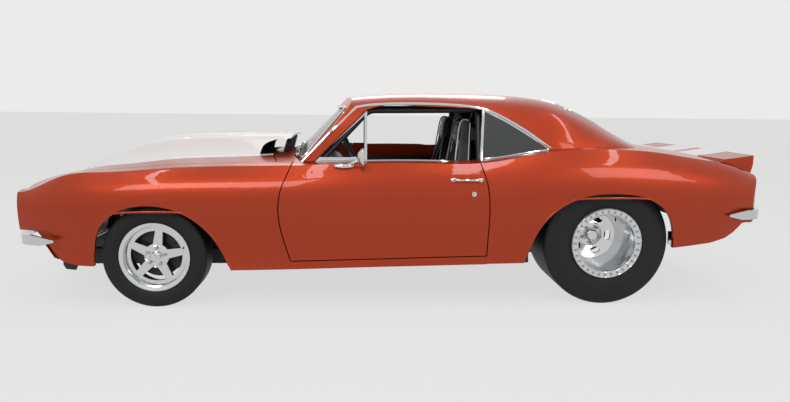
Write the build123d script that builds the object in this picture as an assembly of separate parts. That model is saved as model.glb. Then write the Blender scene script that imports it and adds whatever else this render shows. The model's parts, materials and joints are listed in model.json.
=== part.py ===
from build123d import *
import math
import os
from typing import NamedTuple

# A two-door hardtop muscle car in drag-strip trim.  Millimetres; X runs rearward, Y to the
# car's right, Z up, and the origin is on the ground below the middle of the car.

# ---------------------------------------------------------------- driving dimensions
BODY_LENGTH = 4691.0
BODY_WIDTH = 1842.0
WHEELBASE = 2743.0
FRONT_OVERHANG = 932.0

FRONT_TYRE_RADIUS = 308.0
FRONT_TYRE_WIDTH = 190.0
FRONT_TYRE_OUTER_Y = 858.0
REAR_TYRE_RADIUS = 391.0
REAR_TYRE_WIDTH = 415.0
REAR_TYRE_OUTER_Y = 858.0

SHUT_GAP = 6.5
SEAT = 0.3
SKIN = 26.0
DOOR_DEPTH = 92.0
DOOR_FRONT_OFFSET = 812.0
DOOR_LENGTH = 1180.0

FENDER_HEIGHT = 832.0
BELT_HEIGHT = 880.0
HIP_HEIGHT = 966.0
ROOF_HEIGHT = 1305.0
ROCKER_HEIGHT = 240.0
WAIST_HEIGHT = 610.0
FLOOR_Z = ROCKER_HEIGHT + 16

ROOF_SKIN = 22.0
GLASS = 6.0

# ---------------------------------------------------------------- places worked out from them
HALF_WIDTH = BODY_WIDTH / 2
NOSE_X = -BODY_LENGTH / 2
TAIL_X = BODY_LENGTH / 2
FRONT_AXLE_X = NOSE_X + FRONT_OVERHANG
REAR_AXLE_X = FRONT_AXLE_X + WHEELBASE
DOOR_FRONT_X = FRONT_AXLE_X + DOOR_FRONT_OFFSET
DOOR_REAR_X = DOOR_FRONT_X + DOOR_LENGTH
DOOR_MID_X = (DOOR_FRONT_X + DOOR_REAR_X) / 2

parts = {}


# ---------------------------------------------------------------- helpers
def grown(points, distance):
    """Corners of a closed outline, each moved outwards so that every side shifts by one distance."""
    corners = [Vector(*point) for point in points]
    ahead = corners[1:] + corners[:1]
    area = sum(here.X * there.Y - there.X * here.Y for here, there in zip(corners, ahead))
    turn = distance if area > 0 else -distance
    normals = [Vector(there.Y - here.Y, here.X - there.X).normalized() for here, there in zip(corners, ahead)]
    moved = []
    for index, corner in enumerate(corners):
        before, after = normals[index - 1], normals[index]
        spot = corner + (before + after) * (turn / (1 + before.dot(after)))
        moved.append((spot.X, spot.Y))
    return moved


def outline(runs, distance=0.0):
    """Closed wire in the XZ plane, grown by a distance: splines for long runs, lines for pairs."""
    corners = grown([point for run in runs for point in run[:-1]], distance)
    edges = []
    start = 0
    for run in runs:
        spots = [corners[(start + step) % len(corners)] for step in range(len(run))]
        spots = [(x, 0, z) for x, z in spots]
        edges.append(Line(*spots) if len(run) == 2 else Spline(*spots))
        start += len(run) - 1
    return Wire(edges)


def flat_wire(points, y=0.0):
    """Closed polygon of (x, z) points in the plane of one Y station."""
    corners = [Vector(x, y, z) for x, z in points]
    return Wire.make_polygon(corners, close=True)


def side_prism(wire, y_from, y_to):
    """Solid swept across the car from an outline drawn at y = 0."""
    face = Face(wire).moved(Location((0, y_from, 0)))
    return Solid.extrude(face, Vector(0, y_to - y_from, 0))


def plan_prism(wire, z_from, z_to):
    """Solid swept upwards from an outline drawn at z = 0."""
    face = Face(wire).moved(Location((0, 0, z_from)))
    return Solid.extrude(face, Vector(0, 0, z_to - z_from))


def tube(start, end, radius):
    """Straight round bar between two points."""
    path = Line(start, end)
    return Solid.extrude(Face(Wire.make_circle(radius, Plane(path @ 0, z_dir=path % 0))), Vector(*end) - Vector(*start))


def block(x0, x1, y0, y1, z0, z1):
    """Plain box between two corners."""
    return Pos((x0 + x1) / 2, (y0 + y1) / 2, (z0 + z1) / 2) * Box(abs(x1 - x0), abs(y1 - y0), abs(z1 - z0))


def both_sides(name, shape):
    """Store a right-hand solid and its mirror image as two nodes."""
    parts[name + "_right"] = shape
    parts[name + "_left"] = mirror(shape, about=Plane.XZ)


# ---------------------------------------------------------------- lower body form
class Station(NamedTuple):
    """One cross-section: heights, and distances in from the widest point."""

    x: float
    sill_z: float
    sill_in: float
    waist_z: float
    waist_in: float
    shoulder_z: float
    shoulder_in: float
    crown_z: float


W = WAIST_HEIGHT
BODY_STATIONS = [
    Station(NOSE_X - 60, 250, 190, W - 50, 172, FENDER_HEIGHT - 177, 182, FENDER_HEIGHT - 142),
    Station(NOSE_X + 165, 250, 140, W - 50, 121, FENDER_HEIGHT - 142, 158, FENDER_HEIGHT - 104),
    Station(NOSE_X + 295, 250, 104, W - 45, 85, FENDER_HEIGHT - 90, 136, FENDER_HEIGHT - 66),
    Station(NOSE_X + 445, 245, 72, W - 35, 55, FENDER_HEIGHT - 35, 121, FENDER_HEIGHT - 29),
    Station(FRONT_AXLE_X - 287, 240, 44, W - 20, 29, FENDER_HEIGHT - 20, 115, FENDER_HEIGHT - 4),
    Station(FRONT_AXLE_X, 236, 30, W, 13, FENDER_HEIGHT, 113, FENDER_HEIGHT + 34),
    Station(FRONT_AXLE_X + 353, 236, 31, W, 11, FENDER_HEIGHT + 19, 109, FENDER_HEIGHT + 50),
    Station(DOOR_FRONT_X - 20, ROCKER_HEIGHT, 39, W, 9, BELT_HEIGHT - 20, 95, BELT_HEIGHT + 25),
    Station(DOOR_FRONT_X + 400, ROCKER_HEIGHT + 10, 41, W, 7, BELT_HEIGHT - 4, 71, BELT_HEIGHT + 35),
    Station(DOOR_REAR_X - 380, ROCKER_HEIGHT + 18, 41, W, 7, BELT_HEIGHT + 1, 69, BELT_HEIGHT + 38),
    Station(DOOR_REAR_X - 20, ROCKER_HEIGHT + 22, 39, W + 2, 6, BELT_HEIGHT + 4, 73, BELT_HEIGHT + 45),
    Station(REAR_AXLE_X - 570, 270, 37, W + 10, 5, HIP_HEIGHT - 50, 80, HIP_HEIGHT - 24),
    Station(REAR_AXLE_X - 380, 278, 35, W + 30, 3, HIP_HEIGHT - 16, 84, HIP_HEIGHT + 4),
    Station(REAR_AXLE_X, 300, 31, W + 40, 0, HIP_HEIGHT + 2, 90, HIP_HEIGHT + 24),
    Station(REAR_AXLE_X + 270, 320, 37, W + 40, 7, HIP_HEIGHT - 12, 109, HIP_HEIGHT + 16),
    Station(REAR_AXLE_X + 520, 330, 57, W + 45, 25, HIP_HEIGHT - 48, 131, HIP_HEIGHT - 12),
    Station(TAIL_X - 255, 340, 85, W + 50, 53, HIP_HEIGHT - 88, 156, HIP_HEIGHT - 56),
    Station(TAIL_X - 65, 350, 126, W + 55, 101, HIP_HEIGHT - 148, 179, HIP_HEIGHT - 118),
    Station(TAIL_X + 60, 350, 153, W + 58, 131, HIP_HEIGHT - 186, 196, HIP_HEIGHT - 160),
]


def body_section(station, inset, drop, x):
    """Closed wire of one lower-body cross-section, drawn in by the inset."""
    waist_y = HALF_WIDTH - station.waist_in - inset
    shoulder_y = HALF_WIDTH - station.shoulder_in - inset
    upper_y = HALF_WIDTH - inset - station.waist_in - 0.3 * (station.shoulder_in - station.waist_in)
    shoulder_z = station.shoulder_z - inset
    crown_z = station.crown_z - inset
    upper_z = station.waist_z + 0.68 * (shoulder_z - station.waist_z)
    side = [
        (HALF_WIDTH - station.sill_in - inset, station.sill_z),
        (waist_y, station.waist_z),
        (upper_y, upper_z),
        (shoulder_y, shoulder_z),
    ]
    top = [
        (shoulder_y, shoulder_z),
        (0.55 * shoulder_y, crown_z - 0.30 * (crown_z - shoulder_z)),
        (0.0, crown_z),
        (-0.55 * shoulder_y, crown_z - 0.30 * (crown_z - shoulder_z)),
        (-shoulder_y, shoulder_z),
    ]
    right = Spline(*[(x, y, z) for y, z in side])
    over = Spline(*[(x, y, z) for y, z in top])
    left = Spline(*[(x, -y, z) for y, z in reversed(side)])
    if not drop:
        return Wire([right, over, left, Line(left @ 1, right @ 0)])
    foot = Vector(0, 0, drop)
    low_right, low_left = (right @ 0) - foot, (left @ 1) - foot
    return Wire([Line(low_right, right @ 0), right, over, left, Line(left @ 1, low_left), Line(low_left, low_right)])


def body_form(inset=0.0, drop=0.0, reach=0.0, stations=BODY_STATIONS):
    """Closed loft of the lower body, drawn in by the inset on its sides and top."""
    wires = []
    last = len(stations) - 1
    for index, station in enumerate(stations):
        x = station.x
        if index == 0:
            x -= reach
        if index == last:
            x += reach
        wires.append(body_section(station, inset, drop, x))
    return Solid.make_loft(wires)


# ---------------------------------------------------------------- greenhouse form
class Arch(NamedTuple):
    """One cross-section of roof and cabin side, as (y, z) pairs from base to centre."""

    x: float
    base: tuple
    side: tuple
    rail: tuple
    crest: tuple
    flank: tuple
    crown_z: float


R = ROOF_HEIGHT
ROOF_ARCHES = [
    Arch(DOOR_FRONT_X - 200, (765, 800), (712, 1040), (640, R - 113), (566, R - 78), (300, R - 57), R - 52),
    Arch(DOOR_FRONT_X + 290, (765, 800), (712, 1040), (640, R - 100), (566, R - 66), (300, R - 46), R - 42),
    Arch(DOOR_FRONT_X + 600, (768, 800), (714, 1045), (640, R - 78), (563, R - 42), (300, R - 14), R - 8),
    Arch(DOOR_FRONT_X + 950, (770, 800), (716, 1048), (640, R - 75), (560, R - 38), (300, R - 6), R + 0),
    Arch(DOOR_FRONT_X + 1300, (772, 800), (720, 1050), (644, R - 88), (556, R - 46), (300, R - 11), R - 3),
    Arch(REAR_AXLE_X - 330, (776, 860), (735, 1045), (650, R - 127), (548, R - 74), (300, R - 37), R - 27),
    Arch(REAR_AXLE_X - 130, (772, 880), (733, 1010), (645, R - 192), (536, R - 137), (300, R - 88), R - 75),
    Arch(REAR_AXLE_X + 70, (758, 900), (722, 975), (632, R - 275), (524, R - 232), (300, R - 180), R - 166),
    Arch(REAR_AXLE_X + 220, (738, 900), (700, 945), (612, R - 325), (512, R - 306), (300, R - 253), R - 238),
    Arch(REAR_AXLE_X + 330, (715, 895), (675, 925), (600, R - 366), (505, R - 362), (300, R - 312), R - 297),
    Arch(REAR_AXLE_X + 430, (700, 880), (660, 895), (590, R - 412), (500, R - 414), (300, R - 372), R - 357),
]


def roof_section(arch, inset, drop, x):
    """Closed wire of one greenhouse cross-section, drawn in by the inset."""
    side = [
        (arch.base[0] - inset, arch.base[1] - drop),
        (arch.side[0] - inset, arch.side[1]),
        (arch.rail[0] - 0.8 * inset, arch.rail[1] - 0.4 * inset),
        (arch.crest[0] - 0.4 * inset, arch.crest[1] - 0.9 * inset),
        (arch.flank[0], arch.flank[1] - inset),
    ]
    curve = [(y, z) for y, z in side] + [(0.0, arch.crown_z - inset)] + [(-y, z) for y, z in reversed(side)]
    over = Spline(*[(x, y, z) for y, z in curve])
    return Wire([over, Line(over @ 1, over @ 0)])


def roof_form(inset=0.0, drop=0.0, reach=0.0):
    """Closed loft of the greenhouse, drawn in by the inset."""
    wires = []
    last = len(ROOF_ARCHES) - 1
    for index, arch in enumerate(ROOF_ARCHES):
        x = arch.x
        if index == 0:
            x -= reach
        if index == last:
            x += reach
        wires.append(roof_section(arch, inset, drop, x))
    return Solid.make_loft(wires)


BODY = body_form()
SEATED = body_form(-SEAT)
CLEARED = body_form(-SHUT_GAP)
LINER = body_form(SKIN, 60, 30)
UNDER = body_form(SKIN + SHUT_GAP, 60, 30)
SHELL = BODY - LINER
CABIN_STATIONS = BODY_STATIONS[4:15]
DOOR_CORE = body_form(DOOR_DEPTH, 100, 0, CABIN_STATIONS)
ROOF = roof_form()
ROOF_SHELL = ROOF - roof_form(ROOF_SKIN, 60, 30)


# ---------------------------------------------------------------- outlines seen from the side
def arch_wire(points, foot):
    """Wheel arch: a spline over the opening, closed below the sill."""
    curve = Spline(*[(x, 0, z) for x, z in points])
    first, last = curve @ 0, curve @ 1
    low = [(last.X, 0, foot), (first.X, 0, foot)]
    return Wire([curve, Line(last, low[0]), Line(low[0], low[1]), Line(low[1], first)])


FRONT_ARCH_TOP = FRONT_TYRE_RADIUS + 318
REAR_ARCH_TOP = REAR_TYRE_RADIUS + 317
ARCH_FOOT = 120.0

FRONT_ARCH = arch_wire(
    [
        (FRONT_AXLE_X - 350, FRONT_ARCH_TOP - 410),
        (FRONT_AXLE_X - 346, FRONT_ARCH_TOP - 300),
        (FRONT_AXLE_X - 317, FRONT_ARCH_TOP - 164),
        (FRONT_AXLE_X - 212, FRONT_ARCH_TOP - 49),
        (FRONT_AXLE_X - 15, FRONT_ARCH_TOP),
        (FRONT_AXLE_X + 179, FRONT_ARCH_TOP - 42),
        (FRONT_AXLE_X + 339, FRONT_ARCH_TOP - 171),
        (FRONT_AXLE_X + 421, FRONT_ARCH_TOP - 316),
        (FRONT_AXLE_X + 462, FRONT_ARCH_TOP - 410),
    ],
    ARCH_FOOT,
)
REAR_ARCH = arch_wire(
    [
        (REAR_AXLE_X - 535, REAR_ARCH_TOP - 470),
        (REAR_AXLE_X - 490, REAR_ARCH_TOP - 350),
        (REAR_AXLE_X - 449, REAR_ARCH_TOP - 243),
        (REAR_AXLE_X - 339, REAR_ARCH_TOP - 103),
        (REAR_AXLE_X - 150, REAR_ARCH_TOP - 13),
        (REAR_AXLE_X + 25, REAR_ARCH_TOP),
        (REAR_AXLE_X + 203, REAR_ARCH_TOP - 24),
        (REAR_AXLE_X + 352, REAR_ARCH_TOP - 125),
        (REAR_AXLE_X + 401, REAR_ARCH_TOP - 245),
        (REAR_AXLE_X + 407, REAR_ARCH_TOP - 400),
    ],
    ARCH_FOOT,
)

DOOR_FOOT_FRONT = ROCKER_HEIGHT + 52
DOOR_FOOT_REAR = ROCKER_HEIGHT + 83
DOOR_TOP = BELT_HEIGHT + 100


DOOR_RUNS = [
    [
        (DOOR_FRONT_X + 10, DOOR_TOP),
        (DOOR_FRONT_X - 4, BELT_HEIGHT - 42),
        (DOOR_FRONT_X - 45, BELT_HEIGHT - 139),
        (DOOR_FRONT_X - 67, BELT_HEIGHT - 261),
        (DOOR_FRONT_X - 57, BELT_HEIGHT - 382),
        (DOOR_FRONT_X - 1, DOOR_FOOT_FRONT),
    ],
    [(DOOR_FRONT_X - 1, DOOR_FOOT_FRONT), (DOOR_REAR_X - 3, DOOR_FOOT_REAR)],
    [
        (DOOR_REAR_X - 3, DOOR_FOOT_REAR),
        (DOOR_REAR_X, BELT_HEIGHT - 413),
        (DOOR_REAR_X - 2, BELT_HEIGHT - 226),
        (DOOR_REAR_X - 19, BELT_HEIGHT - 104),
        (DOOR_REAR_X - 53, BELT_HEIGHT + 2),
        (DOOR_REAR_X - 84, DOOR_TOP),
    ],
    [(DOOR_REAR_X - 84, DOOR_TOP), (DOOR_FRONT_X + 10, DOOR_TOP)],
]
DOOR_FRAME_IN = 16.0
DOOR = outline(DOOR_RUNS)
DOOR_HOLE = outline(DOOR_RUNS, SHUT_GAP)
DOOR_FRAME = outline(DOOR_RUNS, -DOOR_FRAME_IN)
BELT_INNER_Y = 730.0

WINDOW_FOOT = BELT_HEIGHT - 74
WINDOW_REAR_X = REAR_AXLE_X - 305
WINDOW_RUNS = [
    [(DOOR_FRONT_X + 56, WINDOW_FOOT), (DOOR_FRONT_X + 443, ROOF_HEIGHT - 119)],
    [
        (DOOR_FRONT_X + 443, ROOF_HEIGHT - 119),
        (DOOR_FRONT_X + 500, ROOF_HEIGHT - 99),
        (DOOR_FRONT_X + 740, ROOF_HEIGHT - 88),
        (DOOR_FRONT_X + 1015, ROOF_HEIGHT - 95),
        (DOOR_FRONT_X + 1190, ROOF_HEIGHT - 119),
        (REAR_AXLE_X - 640, ROOF_HEIGHT - 165),
        (REAR_AXLE_X - 500, ROOF_HEIGHT - 248),
        (REAR_AXLE_X - 345, HIP_HEIGHT - 14),
    ],
    [(REAR_AXLE_X - 345, HIP_HEIGHT - 14), (WINDOW_REAR_X, HIP_HEIGHT - 60)],
    [(WINDOW_REAR_X, HIP_HEIGHT - 60), (WINDOW_REAR_X, WINDOW_FOOT)],
    [(WINDOW_REAR_X, WINDOW_FOOT), (DOOR_FRONT_X + 56, WINDOW_FOOT)],
]


# ---------------------------------------------------------------- curves seen from above
def bow_arc(edge_x, edge_y, centre_x, z=0.0):
    """Arc across the car, through its middle and two ends."""
    return ThreePointArc((edge_x, -edge_y, z), (centre_x, 0, z), (edge_x, edge_y, z))


def bow_band(edge_x, edge_y, centre_x, depth, z0, z1):
    """Wall of constant depth that follows a bowed line across the car."""
    near = bow_arc(edge_x, edge_y, centre_x)
    far = bow_arc(edge_x + depth, edge_y, centre_x + depth)
    ring = Wire([near, Line(near @ 1, far @ 1), far, Line(far @ 0, near @ 0)])
    return plan_prism(ring, z0, z1)


NOSE_EDGE_X = NOSE_X + 203
NOSE_CENTRE_X = NOSE_X + 27
NOSE_Y = 830.0
TAIL_PLAN = [(-34, 0), (-36, 380), (-42, 690), (-52, 775), (-76, 815), (-130, 850), (-230, 905)]
ahead_of_nose = bow_band(NOSE_EDGE_X - 300, NOSE_Y + 200, NOSE_CENTRE_X - 300, 300, 0, 1200)


def tail_band(shift, depth, z0, z1):
    """Wall of constant depth that follows the tail's line, moved rearwards by a shift."""
    line = [(TAIL_X + shift + x, y) for x, y in TAIL_PLAN]
    line = [(x, -y) for x, y in reversed(line[1:])] + line
    near = Spline(*[(x, y, 0) for x, y in line])
    far = Spline(*[(x + depth, y, 0) for x, y in line])
    return plan_prism(Wire([near, Line(near @ 1, far @ 1), far, Line(far @ 0, near @ 0)]), z0, z1)


behind_tail = tail_band(0, 500, 0, 1200)


# ---------------------------------------------------------------- windscreen
SCREEN_BASE_Z = BELT_HEIGHT - 18
SCREEN_TOP_Z = ROOF_HEIGHT - 70
SCREEN_BASE_X = DOOR_FRONT_X - 89
SCREEN_TOP_X = DOOR_FRONT_X + 284
SCREEN_BASE_BOW = 160.0
SCREEN_TOP_BOW = 94.0
SCREEN_BASE_Y = 795.0
SCREEN_TOP_Y = 700.0
SCREEN_SET = 14.0
PILLAR = 64.0


def screen_slab(front, back):
    """Sloping bowed wall between two distances behind the windscreen's outer face."""
    wires = []
    for z in (BELT_HEIGHT - 120, ROOF_HEIGHT + 100):
        share = (z - SCREEN_BASE_Z) / (SCREEN_TOP_Z - SCREEN_BASE_Z)
        centre = SCREEN_BASE_X + share * (SCREEN_TOP_X - SCREEN_BASE_X)
        bow = SCREEN_BASE_BOW + share * (SCREEN_TOP_BOW - SCREEN_BASE_BOW)
        edge_y = SCREEN_BASE_Y + share * (SCREEN_TOP_Y - SCREEN_BASE_Y)
        near = bow_arc(centre + bow + front, edge_y, centre + front, z)
        far = bow_arc(centre + bow + back, edge_y, centre + back, z)
        wires.append(Wire([near, Line(near @ 1, far @ 1), far, Line(far @ 0, near @ 0)]))
    return Solid.make_loft(wires, ruled=True)


def screen_opening(shrink):
    """Windscreen aperture seen from the front, swept along the car."""
    low_z = SCREEN_BASE_Z + 26 + shrink
    high_z = SCREEN_TOP_Z - 36 - shrink
    low_y = 697 - shrink
    high_y = 594 - shrink
    corners = [(-low_y, low_z), (low_y, low_z), (high_y, high_z), (-high_y, high_z)]
    outline = Wire.make_polygon([Vector(-1200, y, z) for y, z in corners], close=True)
    face = Face(outline)
    face = face.fillet_2d(45, face.vertices())
    return Solid.extrude(face, Vector(1400, 0, 0))


ahead_of_screen = screen_slab(-900, PILLAR)
pillars = screen_slab(0, PILLAR - SEAT) & ROOF
pillars = pillars - screen_opening(0) - SEATED
DOOR_SWING_Y = 736.0
for side in (-1, 1):
    swing_y = sorted((side * DOOR_SWING_Y, side * HALF_WIDTH))
    pillars -= block(DOOR_FRONT_X + 50, DOOR_FRONT_X + 160, *swing_y, 0, BELT_HEIGHT)
parts["windscreen_frame"] = pillars
parts["windscreen"] = (screen_slab(SCREEN_SET, SCREEN_SET + GLASS) & screen_opening(SEAT)) - SEATED

# ---------------------------------------------------------------- roof, with its sail panels
BACKLIGHT_FRONT_X = REAR_AXLE_X - 224
BACKLIGHT_REAR_X = REAR_AXLE_X + 432


def backlight_wire(shrink):
    """Rear window aperture seen from above."""
    front = BACKLIGHT_FRONT_X + shrink
    rear = BACKLIGHT_REAR_X - shrink
    ahead = bow_arc(front + 36, 452 - shrink, front)
    behind = bow_arc(rear - 60, 498 - shrink, rear)
    return Wire([ahead, Line(ahead @ 1, behind @ 1), behind, Line(behind @ 0, ahead @ 0)])


window_hole = side_prism(outline(WINDOW_RUNS), -1000, 1000)
backlight_hole = plan_prism(backlight_wire(0), BELT_HEIGHT, ROOF_HEIGHT + 100)
roof = ROOF_SHELL - ahead_of_screen - window_hole - backlight_hole - SEATED
parts["roof"] = roof
backlight_pane = roof_form(8, 60, 30) - roof_form(8 + GLASS, 120, 60)
backlight_pane = backlight_pane & plan_prism(backlight_wire(SEAT), BELT_HEIGHT, ROOF_HEIGHT + 100)
parts["rear_window"] = backlight_pane - SEATED

# ---------------------------------------------------------------- panels of the lower body
HOOD_FRONT_Y = 655.0
HOOD_REAR_Y = 702.0
COWL_X = DOOR_FRONT_X - 190
COWL_EDGE_X = COWL_X + 116
LID_FRONT_X = REAR_AXLE_X + 416
LID_Y = 640.0
SHELF_Y = 705.0
SHELF_FRONT_X = REAR_AXLE_X - 250

low_front = flat_wire(
    [
        (NOSE_X - 200, 461),
        (NOSE_X + 240, 461),
        (NOSE_X + 297, 392),
        (NOSE_X + 345, 322),
        (NOSE_X + 379, 287),
        (NOSE_X + 405, 275),
        (NOSE_X + 485, 259),
        (FRONT_AXLE_X - 300, 257),
        (FRONT_AXLE_X + 380, ROCKER_HEIGHT - 4),
        (DOOR_FRONT_X + 100, ROCKER_HEIGHT - 2),
        (DOOR_FRONT_X + 100, 0),
        (NOSE_X - 200, 0),
    ]
)
low_rear = flat_wire(
    [
        (DOOR_REAR_X - 100, ROCKER_HEIGHT + 28),
        (REAR_AXLE_X - 500, ROCKER_HEIGHT + 36),
        (REAR_AXLE_X + 395, 366),
        (REAR_AXLE_X + 530, 379),
        (REAR_AXLE_X + 660, 395),
        (REAR_AXLE_X + 760, 424),
        (REAR_AXLE_X + 815, 462),
        (REAR_AXLE_X + 868, 516),
        (TAIL_X + 200, 540),
        (TAIL_X + 200, 0),
        (DOOR_REAR_X - 100, 0),
    ]
)
door_hole = side_prism(DOOR_HOLE, 300, 1000)


def plan_region(points, z0=0.0, z1=1200.0):
    """Upright prism over a polygon seen from above."""
    corners = [Vector(x, y, 0) for x, y in points]
    return plan_prism(Wire.make_polygon(corners, close=True), z0, z1)


fender_zone = plan_region(
    [
        (NOSE_X - 100, HOOD_FRONT_Y),
        (COWL_EDGE_X, HOOD_REAR_Y),
        (DOOR_FRONT_X - 6, HOOD_REAR_Y),
        (DOOR_MID_X, HOOD_REAR_Y),
        (DOOR_MID_X, 1000),
        (NOSE_X - 100, 1000),
    ]
)
fender = SHELL & fender_zone
fender = fender - side_prism(FRONT_ARCH, 300, 1000) - side_prism(low_front, 300, 1000)
fender = fender - door_hole - ahead_of_nose
fender = fender - block(DOOR_FRONT_X - 4, DOOR_MID_X + 10, 300, 1000, 0, 1100)
both_sides("fender", fender)

quarter_zone = plan_region(
    [
        (DOOR_MID_X, BELT_INNER_Y),
        (SHELF_FRONT_X - 60, BELT_INNER_Y),
        (SHELF_FRONT_X, SHELF_Y),
        (LID_FRONT_X - SHUT_GAP, SHELF_Y),
        (LID_FRONT_X - SHUT_GAP, LID_Y),
        (TAIL_X + 100, LID_Y),
        (TAIL_X + 100, 1000),
        (DOOR_MID_X, 1000),
    ]
)
quarter = (BODY & quarter_zone) - side_prism(REAR_ARCH, 300, 1000) - LINER
quarter = quarter - side_prism(low_rear, 300, 1000)
quarter = quarter - door_hole - behind_tail
quarter = quarter - block(DOOR_MID_X - 10, DOOR_REAR_X, 300, 1000, 0, DOOR_FOOT_REAR + 20)
both_sides("quarter", quarter)

rocker_zone = flat_wire(
    [
        (DOOR_FRONT_X - 4 + SEAT, ROCKER_HEIGHT),
        (DOOR_REAR_X - SEAT, ROCKER_HEIGHT + 28),
        (DOOR_REAR_X - SEAT, DOOR_FOOT_REAR - SHUT_GAP),
        (DOOR_FRONT_X - 4 + SEAT, DOOR_FOOT_FRONT - SHUT_GAP),
    ]
)
rocker = (BODY - DOOR_CORE) & side_prism(rocker_zone, 300, 1000)
parts["rockers"] = Part() + [rocker, mirror(rocker, about=Plane.XZ)]

shelf = plan_region(
    [
        (SHELF_FRONT_X - 60, BELT_INNER_Y - SEAT),
        (SHELF_FRONT_X, SHELF_Y - SEAT),
        (LID_FRONT_X - SHUT_GAP, SHELF_Y - SEAT),
        (LID_FRONT_X - SHUT_GAP, -SHELF_Y + SEAT),
        (SHELF_FRONT_X, -SHELF_Y + SEAT),
        (SHELF_FRONT_X - 60, -BELT_INNER_Y + SEAT),
    ],
    700,
)
parts["rear_deck"] = SHELL & shelf

# ---------------------------------------------------------------- doors
door_zone = block(DOOR_FRONT_X - 200, DOOR_REAR_X + 100, BELT_INNER_Y, 1000, 0, 1100)
door = SHELL & side_prism(DOOR, 300, 1000) & door_zone
door_frame = (LINER - DOOR_CORE) & side_prism(DOOR_FRAME, 300, 1000) & door_zone
both_sides("door", door + door_frame)

# ---------------------------------------------------------------- hood with its tall scoop
HOOD_LEAD = 98.0
hood_zone = plan_region(
    [
        (NOSE_X - 100, HOOD_FRONT_Y - SHUT_GAP),
        (COWL_EDGE_X, HOOD_REAR_Y - SHUT_GAP),
        (COWL_EDGE_X, -HOOD_REAR_Y + SHUT_GAP),
        (NOSE_X - 100, -HOOD_FRONT_Y + SHUT_GAP),
    ],
    600,
)
ahead_of_hood = bow_band(NOSE_EDGE_X + HOOD_LEAD - 400, NOSE_Y, NOSE_CENTRE_X + HOOD_LEAD - 400, 400, 0, 1200)
behind_hood = bow_band(COWL_EDGE_X, HOOD_REAR_Y + 100, COWL_X, 400, 0, 1200)
hood = (SHELL & hood_zone) - ahead_of_hood - behind_hood


class Scoop(NamedTuple):
    """One cross-section of the hood scoop."""

    x: float
    half_width: float
    foot_z: float
    top_z: float


F = FENDER_HEIGHT
SCOOP_TOP = F + 181
SCOOP_SIDE = 46.0
SCOOP_WALL = 12.0
SCOOP_REAR_X = COWL_X + 139
SCOOP_STATIONS = [
    Scoop(NOSE_X + 215, 235, F - 110, F - 88),
    Scoop(NOSE_X + 330, 258, F - 85, F - 34),
    Scoop(NOSE_X + 470, 285, F - 50, F + 34),
    Scoop(NOSE_X + 605, 305, F - 30, F + 84),
    Scoop(NOSE_X + 740, 322, F - 15, F + 130),
    Scoop(NOSE_X + 880, 336, F - 5, F + 160),
    Scoop(NOSE_X + 1080, 350, F + 5, SCOOP_TOP - 3),
    Scoop(NOSE_X + 1310, 360, F + 20, SCOOP_TOP),
    Scoop(SCOOP_REAR_X - 170, 366, F + 40, SCOOP_TOP - 2),
    Scoop(SCOOP_REAR_X, 370, F + 54, SCOOP_TOP - 6),
]


def scoop_section(station, inset, reach):
    """Closed wire of the scoop: sloping sides, rounded shoulders, crowned top."""
    foot = station.half_width - inset
    top = station.top_z - inset
    low = station.foot_z - (40 if inset == 0 else -inset)
    rise = top - station.foot_z
    side_in = min(SCOOP_SIDE, 0.7 * rise)
    shoulder = min(26.0, 0.45 * rise)
    x = station.x + reach
    edge = foot - side_in
    right = Line((x, foot, low), (x, edge + 0.35 * shoulder, top - shoulder))
    corner_r = Spline(right @ 1, (x, edge - 0.25 * shoulder, top - 0.3 * shoulder), (x, edge - shoulder, top - 4))
    over = Spline(corner_r @ 1, (x, 0, top + 5), (x, shoulder - edge, top - 4))
    left_end = Vector(x, -edge - 0.35 * shoulder, top - shoulder)
    corner_l = Spline(over @ 1, (x, 0.25 * shoulder - edge, top - 0.3 * shoulder), left_end)
    left = Line(left_end, (x, -foot, low))
    return Wire([right, corner_r, over, corner_l, left, Line(left @ 1, right @ 0)])


scoop = Solid.make_loft([scoop_section(s, 0, 0) for s in SCOOP_STATIONS])
hollow = Solid.make_loft([scoop_section(s, SCOOP_WALL, 2) for s in SCOOP_STATIONS[4:]])
mouth = outline(
    [
        [
            (SCOOP_REAR_X - 206, F + 30),
            (SCOOP_REAR_X - 201, F + 72),
            (SCOOP_REAR_X - 186, F + 107),
            (SCOOP_REAR_X - 148, F + 136),
            (SCOOP_REAR_X - 80, F + 155),
            (SCOOP_REAR_X + 20, F + 162),
        ],
        [(SCOOP_REAR_X + 20, F + 162), (SCOOP_REAR_X + 20, F + 30)],
        [(SCOOP_REAR_X + 20, F + 30), (SCOOP_REAR_X - 206, F + 30)],
    ]
)
scoop = scoop - LINER - hollow - (CLEARED & behind_hood) - (side_prism(mouth, -500, 500) - BODY)
parts["hood"] = hood + scoop

# ---------------------------------------------------------------- cowl
COWL_REAR_X = DOOR_FRONT_X + 112
cowl_zone = plan_region(
    [
        (COWL_X - 20, HOOD_REAR_Y - SEAT),
        (DOOR_FRONT_X - 4, HOOD_REAR_Y - SEAT),
        (DOOR_FRONT_X - 4, BELT_INNER_Y - SHUT_GAP),
        (COWL_REAR_X, BELT_INNER_Y - SHUT_GAP),
        (COWL_REAR_X, -BELT_INNER_Y + SHUT_GAP),
        (DOOR_FRONT_X - 4, -BELT_INNER_Y + SHUT_GAP),
        (DOOR_FRONT_X - 4, -HOOD_REAR_Y + SEAT),
        (COWL_X - 20, -HOOD_REAR_Y + SEAT),
    ],
    700,
)
cowl_front = bow_band(COWL_EDGE_X + SHUT_GAP - 400, HOOD_REAR_Y + 100, COWL_X + SHUT_GAP - 400, 400, 0, 1200)
FIREWALL_X = COWL_X + 40
FIREWALL = 14.0
BULKHEAD_TOP_Y = 380.0
bulkhead = block(FIREWALL_X, FIREWALL_X + FIREWALL, -765, 765, ROCKER_HEIGHT + 30, BELT_HEIGHT) & UNDER
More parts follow.
